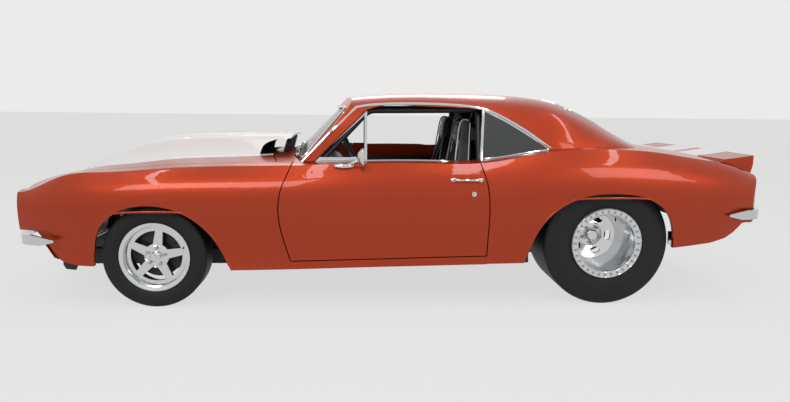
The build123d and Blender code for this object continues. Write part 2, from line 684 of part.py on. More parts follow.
crest = block(FIREWALL_X, FIREWALL_X + FIREWALL, -BULKHEAD_TOP_Y, BULKHEAD_TOP_Y, BELT_HEIGHT - 80, BELT_HEIGHT + 60)
cowl = ((SHELL & cowl_zone) - cowl_front) + bulkhead + (crest & BODY)

# ---------------------------------------------------------------- nose
GRILLE_Y = 735.0
GRILLE_LOW = 484.0
GRILLE_HIGH = 648.0
header = SHELL & plan_region(
    [
        (NOSE_X - 100, HOOD_FRONT_Y - SEAT),
        (NOSE_X + 300, HOOD_FRONT_Y - SEAT),
        (NOSE_X + 300, -HOOD_FRONT_Y + SEAT),
        (NOSE_X - 100, -HOOD_FRONT_Y + SEAT),
    ],
    600,
)
lead = HOOD_LEAD - SHUT_GAP
header = header & bow_band(NOSE_EDGE_X, NOSE_Y, NOSE_CENTRE_X, lead, 0, 1200)
surround = bow_band(NOSE_EDGE_X, NOSE_Y, NOSE_CENTRE_X, 60, 455, 1000) & body_form(SKIN + SEAT, 60, 30)
grille_hole = block(NOSE_X - 100, NOSE_X + 500, -GRILLE_Y, GRILLE_Y, GRILLE_LOW, GRILLE_HIGH)
surround = surround - grille_hole
link = bow_band(NOSE_EDGE_X, NOSE_Y, NOSE_CENTRE_X, 40, GRILLE_HIGH, 1000)
link = link & BODY & block(NOSE_X, NOSE_X + 300, SEAT - HOOD_FRONT_Y, HOOD_FRONT_Y - SEAT, GRILLE_HIGH, 1000)
parts["nose_panel"] = header + surround + link

HEADLAMP_Y = 590.0
HEADLAMP_Z = (GRILLE_LOW + GRILLE_HIGH) / 2
HEADLAMP_RADIUS = 80.0
GRILLE_BAR = 6.0
GRILLE_ROWS = 7
GRILLE_COLUMNS = 33
low, high = GRILLE_LOW + SEAT, GRILLE_HIGH - SEAT
side_y = GRILLE_Y - SEAT
bars = []
for index in range(GRILLE_ROWS):
    z = low + index * (high - low - GRILLE_BAR) / (GRILLE_ROWS - 1)
    bars.append(block(NOSE_X - 50, NOSE_X + 400, -side_y, side_y, z, z + GRILLE_BAR))
for index in range(GRILLE_COLUMNS):
    y = -side_y + index * (2 * side_y - GRILLE_BAR) / (GRILLE_COLUMNS - 1)
    bars.append(block(NOSE_X - 50, NOSE_X + 400, y, y + GRILLE_BAR, low, high))
grille = bow_band(NOSE_EDGE_X + 34, NOSE_Y, NOSE_CENTRE_X + 34, 20, 400, 700) & (Part() + bars)
for side in (-1, 1):
    grille -= Pos(NOSE_EDGE_X, side * HEADLAMP_Y, HEADLAMP_Z) * Rot(0, 90, 0) * Cylinder(HEADLAMP_RADIUS + SEAT, 400)
parts["grille"] = grille


def domed(radius, rim_x, crown_x):
    """Drum about the X axis whose forward face is a shallow dome."""
    rise = rim_x - crown_x
    sphere = (radius**2 + rise**2) / (2 * rise)
    share = math.asin(radius / sphere) / 2
    middle = (crown_x + sphere - sphere * math.cos(share), sphere * math.sin(share), 0)
    profile = Wire(
        [
            Line((0, 0, 0), (0, radius, 0)),
            Line((0, radius, 0), (rim_x, radius, 0)),
            ThreePointArc((rim_x, radius, 0), middle, (crown_x, 0, 0)),
            Line((crown_x, 0, 0), (0, 0, 0)),
        ]
    )
    return Solid.revolve(Face(profile), 360, Axis.X)


LAMP_X = NOSE_EDGE_X + 28
lamp = domed(HEADLAMP_RADIUS, -70, -88)
parts["headlamps"] = Part() + [lamp.moved(Location((LAMP_X, y, HEADLAMP_Z))) for y in (-HEADLAMP_Y, HEADLAMP_Y)]

BUMPER_LOW = 382.0
BUMPER_HIGH = 442.0
BUMPER_IRON_Y = 380.0


def bumper(points, depth, z0, z1, taper):
    """Blade that follows a bowed line across the car and wraps its corners."""
    outer = [(x, y, 0) for x, y in points] + [(x, -y, 0) for x, y in reversed(points[:-1])]
    inner = [(x + depth, y - 12 if y else 0, 0) for x, y in points]
    inner = inner + [(x, -y, 0) for x, y, _ in reversed(inner[:-1])]
    front = Spline(*outer)
    back = Spline(*inner)
    ring = Wire([front, Line(front @ 1, back @ 1), back, Line(back @ 0, front @ 0)])
    return plan_prism(ring, z0, z1) & side_prism(flat_wire(taper), -1000, 1000)


FRONT_BLADE = [
    (NOSE_X + 368, 881),
    (NOSE_X + 272, 862),
    (NOSE_X + 162, 812),
    (NOSE_X + 96, 690),
    (NOSE_X + 32, 380),
    (NOSE_X, 0),
]
FRONT_TAPER = [
    (NOSE_X - 50, BUMPER_LOW),
    (NOSE_X + 282, BUMPER_LOW),
    (NOSE_X + 368, BUMPER_LOW + 22),
    (NOSE_X + 368, BUMPER_LOW + 34),
    (NOSE_X + 230, BUMPER_HIGH),
    (NOSE_X - 50, BUMPER_HIGH),
]
BLADE = 16.0
parts["front_bumper"] = bumper(FRONT_BLADE, BLADE, BUMPER_LOW, BUMPER_HIGH, FRONT_TAPER)
REAR_BUMPER_LOW = 546.0
REAR_BUMPER_HIGH = 604.0
REAR_BLADE = [
    (TAIL_X - 272, 893),
    (TAIL_X - 170, 882),
    (TAIL_X - 80, 857),
    (TAIL_X - 34, 802),
    (TAIL_X - 13, 690),
    (TAIL_X - 3, 380),
    (TAIL_X, 0),
]
REAR_TAPER = [
    (TAIL_X + 50, REAR_BUMPER_LOW),
    (TAIL_X - 190, REAR_BUMPER_LOW),
    (TAIL_X - 272, REAR_BUMPER_LOW + 20),
    (TAIL_X - 272, REAR_BUMPER_LOW + 32),
    (TAIL_X - 150, REAR_BUMPER_HIGH),
    (TAIL_X + 50, REAR_BUMPER_HIGH),
]
parts["rear_bumper"] = bumper(REAR_BLADE, -BLADE, REAR_BUMPER_LOW, REAR_BUMPER_HIGH, REAR_TAPER)

# ---------------------------------------------------------------- tail
lid_zone = block(LID_FRONT_X, TAIL_X + 100, -LID_Y + SHUT_GAP, LID_Y - SHUT_GAP, 600, 1200)
parts["trunk_lid"] = (SHELL & lid_zone) - behind_tail
under_lid = block(LID_FRONT_X - 20, TAIL_X + 100, -LID_Y, LID_Y, 600, 1200) - UNDER
TAIL_WALL = 32.0
VALANCE_SETBACK = 190.0
VALANCE_SHEET = 16.0
TAIL_LOW = 540.0
tail_wall = tail_band(-TAIL_WALL, TAIL_WALL, TAIL_LOW - 30, 1000)
tail_wall += tail_band(-VALANCE_SETBACK, VALANCE_SETBACK - 1, TAIL_LOW, TAIL_LOW + VALANCE_SHEET)
tail_wall += tail_band(-VALANCE_SETBACK, VALANCE_SHEET, TAIL_LOW - 72, TAIL_LOW + VALANCE_SHEET)
tail_wall = (tail_wall & body_form(SKIN + SEAT, 60, 30)) - under_lid
irons = [block(TAIL_X - 40, TAIL_X - 10, y - 22, y + 22, 562, 590) for y in (-BUMPER_IRON_Y, BUMPER_IRON_Y)]
irons = (Part() + irons) - bumper(REAR_BLADE, -BLADE - SEAT, REAR_BUMPER_LOW, REAR_BUMPER_HIGH, REAR_TAPER)
BUFFER_RADIUS = 12.0
buffers = [tube((TAIL_X - 52, y, 700), (TAIL_X - 52, y, 900), BUFFER_RADIUS) for y in (-480, 480)]
tail_wall += irons
tail_wall += (Part() + buffers) & body_form(SKIN + SEAT, 60, 30)
parts["tail_panel"] = tail_wall

lamps = Part()
for side in (-1, 1):
    for inner_y in (360, 500):
        pane = block(TAIL_X - 200, TAIL_X + 50, side * inner_y, side * (inner_y + 132), 640, 735)
        lamps += tail_band(SEAT, 9, 500, 900) & pane
parts["tail_lamps"] = lamps

SPOILER_Y = 668.0
SPOILER_TOP = HIP_HEIGHT - 38


def spoiler_solid():
    """Ducktail across the lid: rises from the deck to its trailing edge, ends swept down."""
    slab = side_prism(spoiler_outline, -SPOILER_Y, SPOILER_Y)
    slab = slab - BODY
    sweep_back = bow_band(TAIL_X - 12, SPOILER_Y, TAIL_X + SEAT, 300, 600, 1200)
    ends = CLEARED - block(TAIL_X - 400, TAIL_X + 200, -LID_Y + SHUT_GAP, LID_Y - SHUT_GAP, 300, 1200)
    return slab - sweep_back - ends


spoiler_outline = flat_wire(
    [
        (TAIL_X - 205, HIP_HEIGHT - 130),
        (TAIL_X - 205, HIP_HEIGHT - 66),
        (TAIL_X - 120, HIP_HEIGHT - 56),
        (TAIL_X, SPOILER_TOP),
        (TAIL_X, SPOILER_TOP - 14),
        (TAIL_X - 14, SPOILER_TOP - 70),
        (TAIL_X - 26, HIP_HEIGHT - 164),
    ]
)
parts["spoiler"] = spoiler_solid()

# ---------------------------------------------------------------- front valance
IRON_LOW = 412.0
IRON_HIGH = 436.0
IRON_HALF = 22.0
VALANCE_HIGH = IRON_LOW - SEAT
VALANCE_LOW = 292.0
VALANCE_WALL = 16.0


def valance_section(centre_x, edge_x, edge_y, z):
    """Level cross-section of the valance at one height."""
    near = bow_arc(edge_x, edge_y, centre_x, z)
    far = bow_arc(edge_x + VALANCE_WALL, edge_y - VALANCE_WALL, centre_x + VALANCE_WALL, z)
    return Wire([near, Line(near @ 1, far @ 1), far, Line(far @ 0, near @ 0)])


parts["front_valance"] = Solid.make_loft(
    [
        valance_section(NOSE_X + 76, NOSE_X + 258, 800, VALANCE_HIGH),
        valance_section(NOSE_X + 132, NOSE_X + 330, 800, VALANCE_LOW),
    ],
    ruled=True,
)

# ---------------------------------------------------------------- side glass and vent frames
GLASS_INSET = 6.0
FRAME_DEPTH = 14.0
VENT_REAR_X = DOOR_FRONT_X + 452
vent_clear = outline(WINDOW_RUNS, -SHUT_GAP)
vent_zone = block(DOOR_FRONT_X - 100, VENT_REAR_X, 300, 1000, 0, 1400)
vent_slab = (roof_form(GLASS_INSET) - roof_form(GLASS_INSET + FRAME_DEPTH, 60, 30)) & vent_zone
vent_slab = (vent_slab & side_prism(vent_clear, 300, 1000)) - SEATED
vent_gap = flat_wire(
    [
        (DOOR_FRONT_X + 158, BELT_HEIGHT + 22),
        (VENT_REAR_X - 16, BELT_HEIGHT + 22),
        (VENT_REAR_X - 16, ROOF_HEIGHT - 145),
        (DOOR_FRONT_X + 425, ROOF_HEIGHT - 158),
    ]
)
both_sides("vent_frame", vent_slab - side_prism(vent_gap, 300, 1000))
pane_zone = block(DOOR_REAR_X - 20, WINDOW_REAR_X + 100, 300, 1000, 0, 1400)
pane = (roof_form(GLASS_INSET) - roof_form(GLASS_INSET + GLASS, 60, 30)) & pane_zone
pane = (pane & side_prism(outline(WINDOW_RUNS, -SEAT), 300, 1000)) - SEATED
parts["quarter_windows"] = Part() + [pane, mirror(pane, about=Plane.XZ)]

# ---------------------------------------------------------------- door mirror, on the driver's door
MIRROR_Y = 905.0
MIRROR_X = DOOR_FRONT_X + 432
MIRROR_Z = BELT_HEIGHT + 36
MIRROR_RADIUS = 55.5
MIRROR_FOOT = (MIRROR_X - 116, -864.0, BELT_HEIGHT - 18)
head = domed(MIRROR_RADIUS, -8, -42).moved(Location((MIRROR_X, -MIRROR_Y, MIRROR_Z)))
foot = Pos(*MIRROR_FOOT) * scale(Sphere(1), by=(60, 22, 16))
arm = tube(MIRROR_FOOT, (MIRROR_X - 16, -MIRROR_Y + 8, MIRROR_Z - 14), 7)
parts["mirror_left"] = head + ((foot + arm) - SEATED)

# ---------------------------------------------------------------- wheels and tyres
FRONT_RIM_RADIUS = 208.0
FRONT_RIM_WIDTH = 148.0
REAR_RIM_RADIUS = 218.0
REAR_RIM_WIDTH = 386.0
BEAD_RADIUS = 190.0
BARREL_WALL = 8.0
LIP = 8.0
LUG_COUNT = 5
HUB_BORE = 20.05
SPINDLE = 20.0
TYRE_LIP_IN = 14.0


def turned(wire, axle_x, axle_z):
    """Solid of revolution about an axle, from a closed outline in (Y, radius)."""
    return Solid.revolve(Face(wire), 360, Axis.Y).moved(Location((axle_x, 0, axle_z)))


def ring(points, axle_x, axle_z):
    """Turned ring from a polygon of (y, radius) corners."""
    return turned(Wire.make_polygon([Vector(0, y, r) for y, r in points], close=True), axle_x, axle_z)


def tyre(outer_y, width, radius, rim_radius, axle_x):
    """Plain tyre: flat tread, rounded shoulders and bulged sidewalls."""
    inner_y = outer_y - width
    wall = radius - rim_radius
    shoulder = 0.15 * wall
    out_foot = outer_y - TYRE_LIP_IN
    in_foot = inner_y + TYRE_LIP_IN
    top_y = 0.06 * wall
    edge = [
        ThreePointArc(
            (0, out_foot, rim_radius), (0, outer_y, rim_radius + 0.45 * wall), (0, outer_y - top_y, radius - shoulder)
        ),
        ThreePointArc(
            (0, outer_y - top_y, radius - shoulder),
            (0, outer_y - top_y - 0.35 * shoulder, radius - 0.28 * shoulder),
            (0, outer_y - top_y - shoulder, radius),
        ),
        Line((0, outer_y - top_y - shoulder, radius), (0, inner_y + top_y + shoulder, radius)),
        ThreePointArc(
            (0, inner_y + top_y + shoulder, radius),
            (0, inner_y + top_y + 0.35 * shoulder, radius - 0.28 * shoulder),
            (0, inner_y + top_y, radius - shoulder),
        ),
        ThreePointArc(
            (0, inner_y + top_y, radius - shoulder), (0, inner_y, rim_radius + 0.45 * wall), (0, in_foot, rim_radius)
        ),
        Line((0, in_foot, rim_radius), (0, in_foot, BEAD_RADIUS)),
        Line((0, in_foot, BEAD_RADIUS), (0, out_foot, BEAD_RADIUS)),
        Line((0, out_foot, BEAD_RADIUS), (0, out_foot, rim_radius)),
    ]
    return turned(Wire(edge), axle_x, radius)


def rim_barrel(outer_y, width, rim_radius, axle_x, axle_z):
    """Rim barrel with a lip each side of the tyre's beads."""
    seat = BEAD_RADIUS - SEAT
    inner = outer_y - width
    return ring(
        [
            (outer_y, rim_radius),
            (outer_y + LIP, rim_radius),
            (outer_y + LIP, rim_radius - 7),
            (outer_y + 2, seat - BARREL_WALL + 4),
            (outer_y - 20, seat - BARREL_WALL),
            (inner + 20, seat - BARREL_WALL),
            (inner - 2, seat - BARREL_WALL + 4),
            (inner - LIP, rim_radius - 7),
            (inner - LIP, rim_radius),
            (inner, rim_radius),
            (inner, seat),
            (outer_y, seat),
        ],
        axle_x,
        axle_z,
    )


def around_axle(shape, count, axle_x, axle_z, start=0.0):
    """Copies of a shape turned about an axle."""
    axis = Axis((axle_x, 0, axle_z), (0, 1, 0))
    return [shape.rotate(axis, start + index * 360 / count) for index in range(count)]


FRONT_LIP_Y = FRONT_TYRE_OUTER_Y - TYRE_LIP_IN + SEAT
SPOKE_FACE_Y = FRONT_LIP_Y - 30
SPOKE_DEPTH = 26.0
SPOKE_RING = 153.0
FRONT_HUB_Y = SPOKE_FACE_Y - 58
SPOKE_START = 8.0


def front_wheel():
    """Five tapered spokes in a bright rim, with a brake disc on the hub behind them."""
    x, z = FRONT_AXLE_X, FRONT_TYRE_RADIUS
    bead_width = FRONT_TYRE_WIDTH - 2 * TYRE_LIP_IN + 2 * SEAT
    wheel = rim_barrel(FRONT_LIP_Y, bead_width, FRONT_RIM_RADIUS, x, z)
    face = SPOKE_FACE_Y
    back = face - SPOKE_DEPTH
    step = BEAD_RADIUS - BARREL_WALL
    wheel += ring([(face - 4, SPOKE_RING), (face - 4, step - 6), (face + 8, step + 2), (back, step + 2), (back, SPOKE_RING)], x, z)
    spoke = Wire.make_polygon(
        [
            Vector(x - 30, back, z + 40),
            Vector(x + 30, back, z + 40),
            Vector(x + 21, back, z + SPOKE_RING + 6),
            Vector(x - 21, back, z + SPOKE_RING + 6),
        ],
        close=True,
    )
    bar = Solid.extrude(Face(spoke), Vector(0, SPOKE_DEPTH, 0))
    wheel += around_axle(bar, LUG_COUNT, x, z, SPOKE_START)
    wheel += ring([(back - 4, HUB_BORE), (face + 6, HUB_BORE), (face + 4, 60), (face - 4, 74), (back - 4, 74)], x, z)
    wheel += ring([(face + 2, 0), (face + 34, 0), (face + 34, 22), (face + 30, 26), (face + 2, 30)], x, z)
    disc_y = FRONT_HUB_Y
    wheel += ring([(disc_y - 14, HUB_BORE), (back - 4, HUB_BORE), (back - 4, 62), (disc_y, 62), (disc_y, 138)]
                  + [(disc_y - 14, 138)], x, z)
    return wheel


both_sides("front_wheel", front_wheel())
both_sides(
    "front_tyre",
    tyre(FRONT_TYRE_OUTER_Y, FRONT_TYRE_WIDTH, FRONT_TYRE_RADIUS, FRONT_RIM_RADIUS, FRONT_AXLE_X),
)

REAR_LIP_Y = REAR_TYRE_OUTER_Y - TYRE_LIP_IN + SEAT
REAR_DISC_Y = REAR_TYRE_OUTER_Y - 282
REAR_WINDOW_RADIUS = 104.0


def rear_wheel():
    """Deep-dish rim with a bolted bead ring and a dished centre with five oval windows."""
    x, z = REAR_AXLE_X, REAR_TYRE_RADIUS
    bead_width = REAR_TYRE_WIDTH - 2 * TYRE_LIP_IN + 2 * SEAT
    wheel = rim_barrel(REAR_LIP_Y, bead_width, REAR_RIM_RADIUS, x, z)
    wheel += ring(
        [
            (REAR_LIP_Y + LIP, BEAD_RADIUS - 12),
            (REAR_LIP_Y + LIP, REAR_RIM_RADIUS - 1),
            (REAR_LIP_Y + LIP + 9, REAR_RIM_RADIUS - 1),
            (REAR_LIP_Y + LIP + 9, BEAD_RADIUS - 12),
        ],
        x,
        z,
    )
    disc = REAR_DISC_Y
    step = BEAD_RADIUS - BARREL_WALL
    wheel += ring(
        [
            (disc, HUB_BORE),
            (disc, 76),
            (disc + 26, 150),
            (disc + 26, step + 2),
            (disc + 16, step + 2),
            (disc + 14, 150),
            (disc - 12, 76),
            (disc - 12, 62),
            (disc - 40, 62),
            (disc - 40, HUB_BORE),
        ],
        x,
        z,
    )
    wheel += ring([(disc, 0), (disc + 40, 0), (disc + 40, 30), (disc + 34, 36), (disc, 36)], x, z)
    slot = Pos(x, disc + 20, z + REAR_WINDOW_RADIUS + 4) * Rot(90, 0, 0) * extrude(
        SlotOverall(66, 36), amount=60, both=True
    )
    for hole in around_axle(slot, LUG_COUNT, x, z, 20):
        wheel -= hole
    return wheel


both_sides("rear_wheel", rear_wheel())
both_sides("rear_tyre", tyre(REAR_TYRE_OUTER_Y, REAR_TYRE_WIDTH, REAR_TYRE_RADIUS, REAR_RIM_RADIUS, REAR_AXLE_X))

# ---------------------------------------------------------------- front suspension
KINGPIN_Y = 692.0
BALL_RISE = 132.0
BALL_HALF = 17.0
BALL_FOOT = BALL_RISE - BALL_HALF - SEAT
KNUCKLE_RISE = 106.0
ARM_Y = 345.0


def knuckle():
    """Steering knuckle: upright, spindle and brake caliper."""
    x, z = FRONT_AXLE_X, FRONT_TYRE_RADIUS
    body = Pos(x, KINGPIN_Y, z) * (Box(56, 34, 2 * KNUCKLE_RISE) + Cylinder(10, 2 * BALL_FOOT))
    spindle_end = SPOKE_FACE_Y
    body += tube((x, KINGPIN_Y, z), (x, spindle_end, z), SPINDLE)
    body += Pos(x + 100, KINGPIN_Y + 12, z) * Box(40, 20, 90)
    body += Pos(x + 56, KINGPIN_Y, z) * Box(100, 26, 40)
    body += tube((x, KINGPIN_Y, z - 30), (x + 110, KINGPIN_Y - 60, z - 60), 12)
    return body


both_sides("knuckle", knuckle())


def control_arm(z_ball, z_pivot, spread):
    """A-shaped arm from the frame rail out to a ball joint."""
    x = FRONT_AXLE_X
    tip = (x, KINGPIN_Y, z_ball)
    arms = tube(tip, (x - spread, ARM_Y, z_pivot), 15)
    arms += tube(tip, (x + spread, ARM_Y, z_pivot), 15)
    return arms + Pos(*tip) * Cylinder(24, 2 * BALL_HALF)


RAIL_Y = 370.0
RAIL_Z = FLOOR_Z - 50 - SEAT
rails = Part()
for side in (-1, 1):
    rails += block(NOSE_X + 235, FIREWALL_X + 60, side * (RAIL_Y - 35), side * (RAIL_Y + 35), RAIL_Z - 50, RAIL_Z + 50)
    lower = control_arm(FRONT_TYRE_RADIUS - BALL_RISE, RAIL_Z - 20, 130)
    upper = control_arm(FRONT_TYRE_RADIUS + BALL_RISE, RAIL_Z + 170, 90)
    tower = block(FRONT_AXLE_X - 110, FRONT_AXLE_X + 110, RAIL_Y - 35, RAIL_Y + 5, RAIL_Z, RAIL_Z + 210)
    corner = lower + upper + tower
    if side < 0:
        corner = mirror(corner, about=Plane.XZ)
    rails += corner
rails += block(FRONT_AXLE_X - 70, FRONT_AXLE_X + 70, -RAIL_Y, RAIL_Y, RAIL_Z - 70, RAIL_Z - 10)
rails += block(NOSE_X + 235, NOSE_X + 285, -RAIL_Y, RAIL_Y, RAIL_Z - 40, RAIL_Z + 40)

RADIATOR_X = NOSE_X + 262
HOOD_STOP_Y = 560.0
radiator = block(RADIATOR_X, RADIATOR_X + 60, -350, 350, RAIL_Z + 40, 690)
radiator += block(RADIATOR_X, RADIATOR_X + 22, -640, 640, 640, 690)
radiator += block(RADIATOR_X, RADIATOR_X + 22, -640, -600, 300, 690)
radiator += block(RADIATOR_X, RADIATOR_X + 22, 600, 640, 300, 690)
radiator += block(RADIATOR_X, RADIATOR_X + 22, -640, 640, RAIL_Z + 40, 320)
for y in (-BUMPER_IRON_Y, BUMPER_IRON_Y):
    radiator += block(NOSE_X + 40, NOSE_X + 280, y - IRON_HALF, y + IRON_HALF, IRON_LOW, IRON_HIGH)
    radiator += block(NOSE_X + 250, NOSE_X + 280, y - IRON_HALF, y + IRON_HALF, 320, IRON_HIGH)
    stop_y = math.copysign(HOOD_STOP_Y, y)
    stop = tube((RADIATOR_X + 12, stop_y, 680), (RADIATOR_X + 12, stop_y, FENDER_HEIGHT), 11)
    radiator += stop & body_form(SKIN + SEAT, 60, 30)
radiator -= bumper(FRONT_BLADE, BLADE + SEAT, BUMPER_LOW, BUMPER_HIGH, FRONT_TAPER)
parts["subframe"] = rails + radiator

ENGINE_FRONT_X = NOSE_X + 400
ENGINE_REAR_X = FIREWALL_X - 30
engine = block(ENGINE_FRONT_X + 160, ENGINE_REAR_X, -250, 250, RAIL_Z - 10 + SEAT, FENDER_HEIGHT - 60)

# ---------------------------------------------------------------- floor, tunnel and wheel tubs
SHEET = 12.0
TUNNEL_RADIUS = 150.0
KICK_X = REAR_AXLE_X - REAR_TYRE_RADIUS - 78
TRUNK_Z = REAR_TYRE_RADIUS + 200
TUB_CLEAR = 22.0
TUB_Y = REAR_TYRE_OUTER_Y - REAR_TYRE_WIDTH - 14
REAR_PAN_X = TAIL_X - 120


def level_bar(radius, x0, x1, z):
    """Round bar lying along the car."""
    return tube((x0, 0, z), (x1, 0, z), radius)


pan = block(FIREWALL_X + FIREWALL + SEAT, KICK_X, -850, 850, FLOOR_Z, FLOOR_Z + SHEET)
pan += level_bar(TUNNEL_RADIUS, FIREWALL_X + FIREWALL + SEAT, KICK_X, FLOOR_Z + 60)
pan += block(KICK_X - SHEET, KICK_X, -850, 850, FLOOR_Z, TRUNK_Z)
pan = pan & body_form(DOOR_DEPTH + SEAT, 60, 0, CABIN_STATIONS)
rear = block(KICK_X - SHEET, REAR_PAN_X, -850, 850, TRUNK_Z - SHEET, TRUNK_Z)
for side in (-1, 1):
    rear += tube((REAR_AXLE_X, side * (TUB_Y - SHEET), REAR_TYRE_RADIUS), (REAR_AXLE_X, side * 895, REAR_TYRE_RADIUS),
                 REAR_TYRE_RADIUS + TUB_CLEAR + SHEET)
rear = rear & body_form(SKIN + SEAT, 60, 30)
rear = rear - block(REAR_AXLE_X - 500, REAR_AXLE_X + 500, -1000, 1000, 0, TRUNK_Z - SHEET)
floor = pan + rear
for side in (-1, 1):
    floor -= tube((REAR_AXLE_X, side * TUB_Y, REAR_TYRE_RADIUS), (REAR_AXLE_X, side * 1000, REAR_TYRE_RADIUS),
                  REAR_TYRE_RADIUS + TUB_CLEAR)
floor -= level_bar(TUNNEL_RADIUS - SHEET, FIREWALL_X - 100, KICK_X + 20, FLOOR_Z + 60)
floor -= block(FIREWALL_X - 100, KICK_X + 20, -TUNNEL_RADIUS + SHEET, TUNNEL_RADIUS - SHEET, 0, FLOOR_Z + 60)
floor -= block(FIREWALL_X - 100, KICK_X - SHEET, -1000, 1000, 0, FLOOR_Z)
parts["floor"] = floor
tunnel_hole = level_bar(TUNNEL_RADIUS - SHEET, FIREWALL_X - 100, FIREWALL_X + 100, FLOOR_Z + 60)
parts["cowl"] = cowl - tunnel_hole - block(FIREWALL_X - 100, FIREWALL_X + 100, -138, 138, 0, FLOOR_Z + 60)

# ---------------------------------------------------------------- gearbox, shaft and rear axle
AXLE_TUBE = 42.0
DIFF_RADIUS = 128.0
gearbox = level_bar(120, ENGINE_REAR_X - 1, FIREWALL_X + 420, FLOOR_Z + 60)
shaft = tube((FIREWALL_X + 400, 0, FLOOR_Z + 60), (REAR_AXLE_X - DIFF_RADIUS + 20, 0, REAR_TYRE_RADIUS), 38)
axle = tube((REAR_AXLE_X, -TUB_Y + 22, REAR_TYRE_RADIUS), (REAR_AXLE_X, TUB_Y - 22, REAR_TYRE_RADIUS), AXLE_TUBE)
axle += Pos(REAR_AXLE_X, 0, REAR_TYRE_RADIUS) * Sphere(DIFF_RADIUS)
for side in (-1, 1):
    y_flange = side * (REAR_DISC_Y - 60)
    axle += tube((REAR_AXLE_X, side * (TUB_Y - 60), REAR_TYRE_RADIUS), (REAR_AXLE_X, y_flange, REAR_TYRE_RADIUS), AXLE_TUBE)
    axle += tube((REAR_AXLE_X, y_flange - side * 34, REAR_TYRE_RADIUS), (REAR_AXLE_X, y_flange, REAR_TYRE_RADIUS), 126)
    axle += tube((REAR_AXLE_X, y_flange, REAR_TYRE_RADIUS), (REAR_AXLE_X, side * REAR_DISC_Y, REAR_TYRE_RADIUS), SPINDLE)
parts["drivetrain"] = engine + gearbox + shaft + axle

# ---------------------------------------------------------------- cabin
COLUMN_TILT = 22.0
WHEEL_X = DOOR_FRONT_X + 366
WHEEL_Y = -365.0
WHEEL_Z = BELT_HEIGHT - 30
WHEEL_RADIUS = 172.0
dash_outline = Wire(
    [
        Spline((DOOR_FRONT_X + 270, 0, 640), (DOOR_FRONT_X + 292, 0, 740), (DOOR_FRONT_X + 262, 0, 812),
               (DOOR_FRONT_X + 160, 0, 842), (DOOR_FRONT_X + 10, 0, 846)),
        Line((DOOR_FRONT_X + 10, 0, 846), (DOOR_FRONT_X + 10, 0, 700)),
        Line((DOOR_FRONT_X + 10, 0, 700), (DOOR_FRONT_X + 200, 0, 600)),
        Line((DOOR_FRONT_X + 200, 0, 600), (DOOR_FRONT_X + 270, 0, 640)),
    ]
)
DASH_Y = BELT_INNER_Y - 12
DASH_LOW_Z = BELT_HEIGHT - 120
dash = side_prism(dash_outline, -DASH_Y, DASH_Y)
low_dash = block(DOOR_FRONT_X, WHEEL_X, -790, 790, 500, DASH_LOW_Z) & body_form(DOOR_DEPTH + 22, 60, 0, CABIN_STATIONS)
dash += side_prism(dash_outline, -790, 790) & low_dash
column_dir = Vector(1, 0, 0).rotate(Axis.Y, -COLUMN_TILT)
wheel_centre = Vector(WHEEL_X, WHEEL_Y, WHEEL_Z)
column_end = wheel_centre - column_dir * (31 + SEAT)
column_foot = wheel_centre - column_dir * 380
column = tube(tuple(column_foot), tuple(column_end), 26)

steer_plane = Plane(origin=wheel_centre, z_dir=column_dir)
steer = steer_plane * Torus(WHEEL_RADIUS, 14)
steer += steer_plane * Pos(0, 0, -16) * Cylinder(34, 30)
for angle in (90, 210, 330):
    steer += steer_plane * Rot(0, 0, angle) * Pos(WHEEL_RADIUS / 2 + 6, 0, -8) * Box(WHEEL_RADIUS - 20, 30, 8)
parts["steering_wheel"] = steer

SEAT_X = DOOR_FRONT_X + 600
SEAT_Y = 374.0
SEAT_WIDTH = 440.0
SEAT_BASE_Z = FLOOR_Z + SHEET + SEAT
seat_outline = Wire(
    [
        Line((SEAT_X + 40, 0, SEAT_BASE_Z), (SEAT_X + 420, 0, SEAT_BASE_Z)),
        Spline((SEAT_X + 420, 0, SEAT_BASE_Z), (SEAT_X + 500, 0, SEAT_BASE_Z + 360), (SEAT_X + 524, 0, SEAT_BASE_Z + 845)),
        ThreePointArc((SEAT_X + 524, 0, SEAT_BASE_Z + 845), (SEAT_X + 490, 0, SEAT_BASE_Z + 872),
                      (SEAT_X + 455, 0, SEAT_BASE_Z + 845)),
        Spline((SEAT_X + 455, 0, SEAT_BASE_Z + 845), (SEAT_X + 400, 0, SEAT_BASE_Z + 460), (SEAT_X + 345, 0, SEAT_BASE_Z + 200)),
        Spline((SEAT_X + 345, 0, SEAT_BASE_Z + 200), (SEAT_X + 180, 0, SEAT_BASE_Z + 190), (SEAT_X, 0, SEAT_BASE_Z + 215)),
        Line((SEAT_X, 0, SEAT_BASE_Z + 215), (SEAT_X - 40, 0, SEAT_BASE_Z + 150)),
        Line((SEAT_X - 40, 0, SEAT_BASE_Z + 150), (SEAT_X + 40, 0, SEAT_BASE_Z)),
    ]
)
seat = side_prism(seat_outline, SEAT_Y - SEAT_WIDTH / 2, SEAT_Y + SEAT_WIDTH / 2)
seat_plan = Wire.make_polygon(
    [
        Vector(0, SEAT_Y - 220, SEAT_BASE_Z - 1),
        Vector(0, SEAT_Y + 220, SEAT_BASE_Z - 1),
        Vector(0, SEAT_Y + 220, SEAT_BASE_Z + 520),
        Vector(0, SEAT_Y + 150, SEAT_BASE_Z + 720),
        Vector(0, SEAT_Y + 130, SEAT_BASE_Z + 880),
        Vector(0, SEAT_Y - 130, SEAT_BASE_Z + 880),
        Vector(0, SEAT_Y - 150, SEAT_BASE_Z + 720),
        Vector(0, SEAT_Y - 220, SEAT_BASE_Z + 520),
    ],
    close=True,
)
seat = seat & Solid.extrude(Face(seat_plan).moved(Location((DOOR_FRONT_X, 0, 0))), Vector(1500, 0, 0))
SEAT_BOLSTER = 70.0
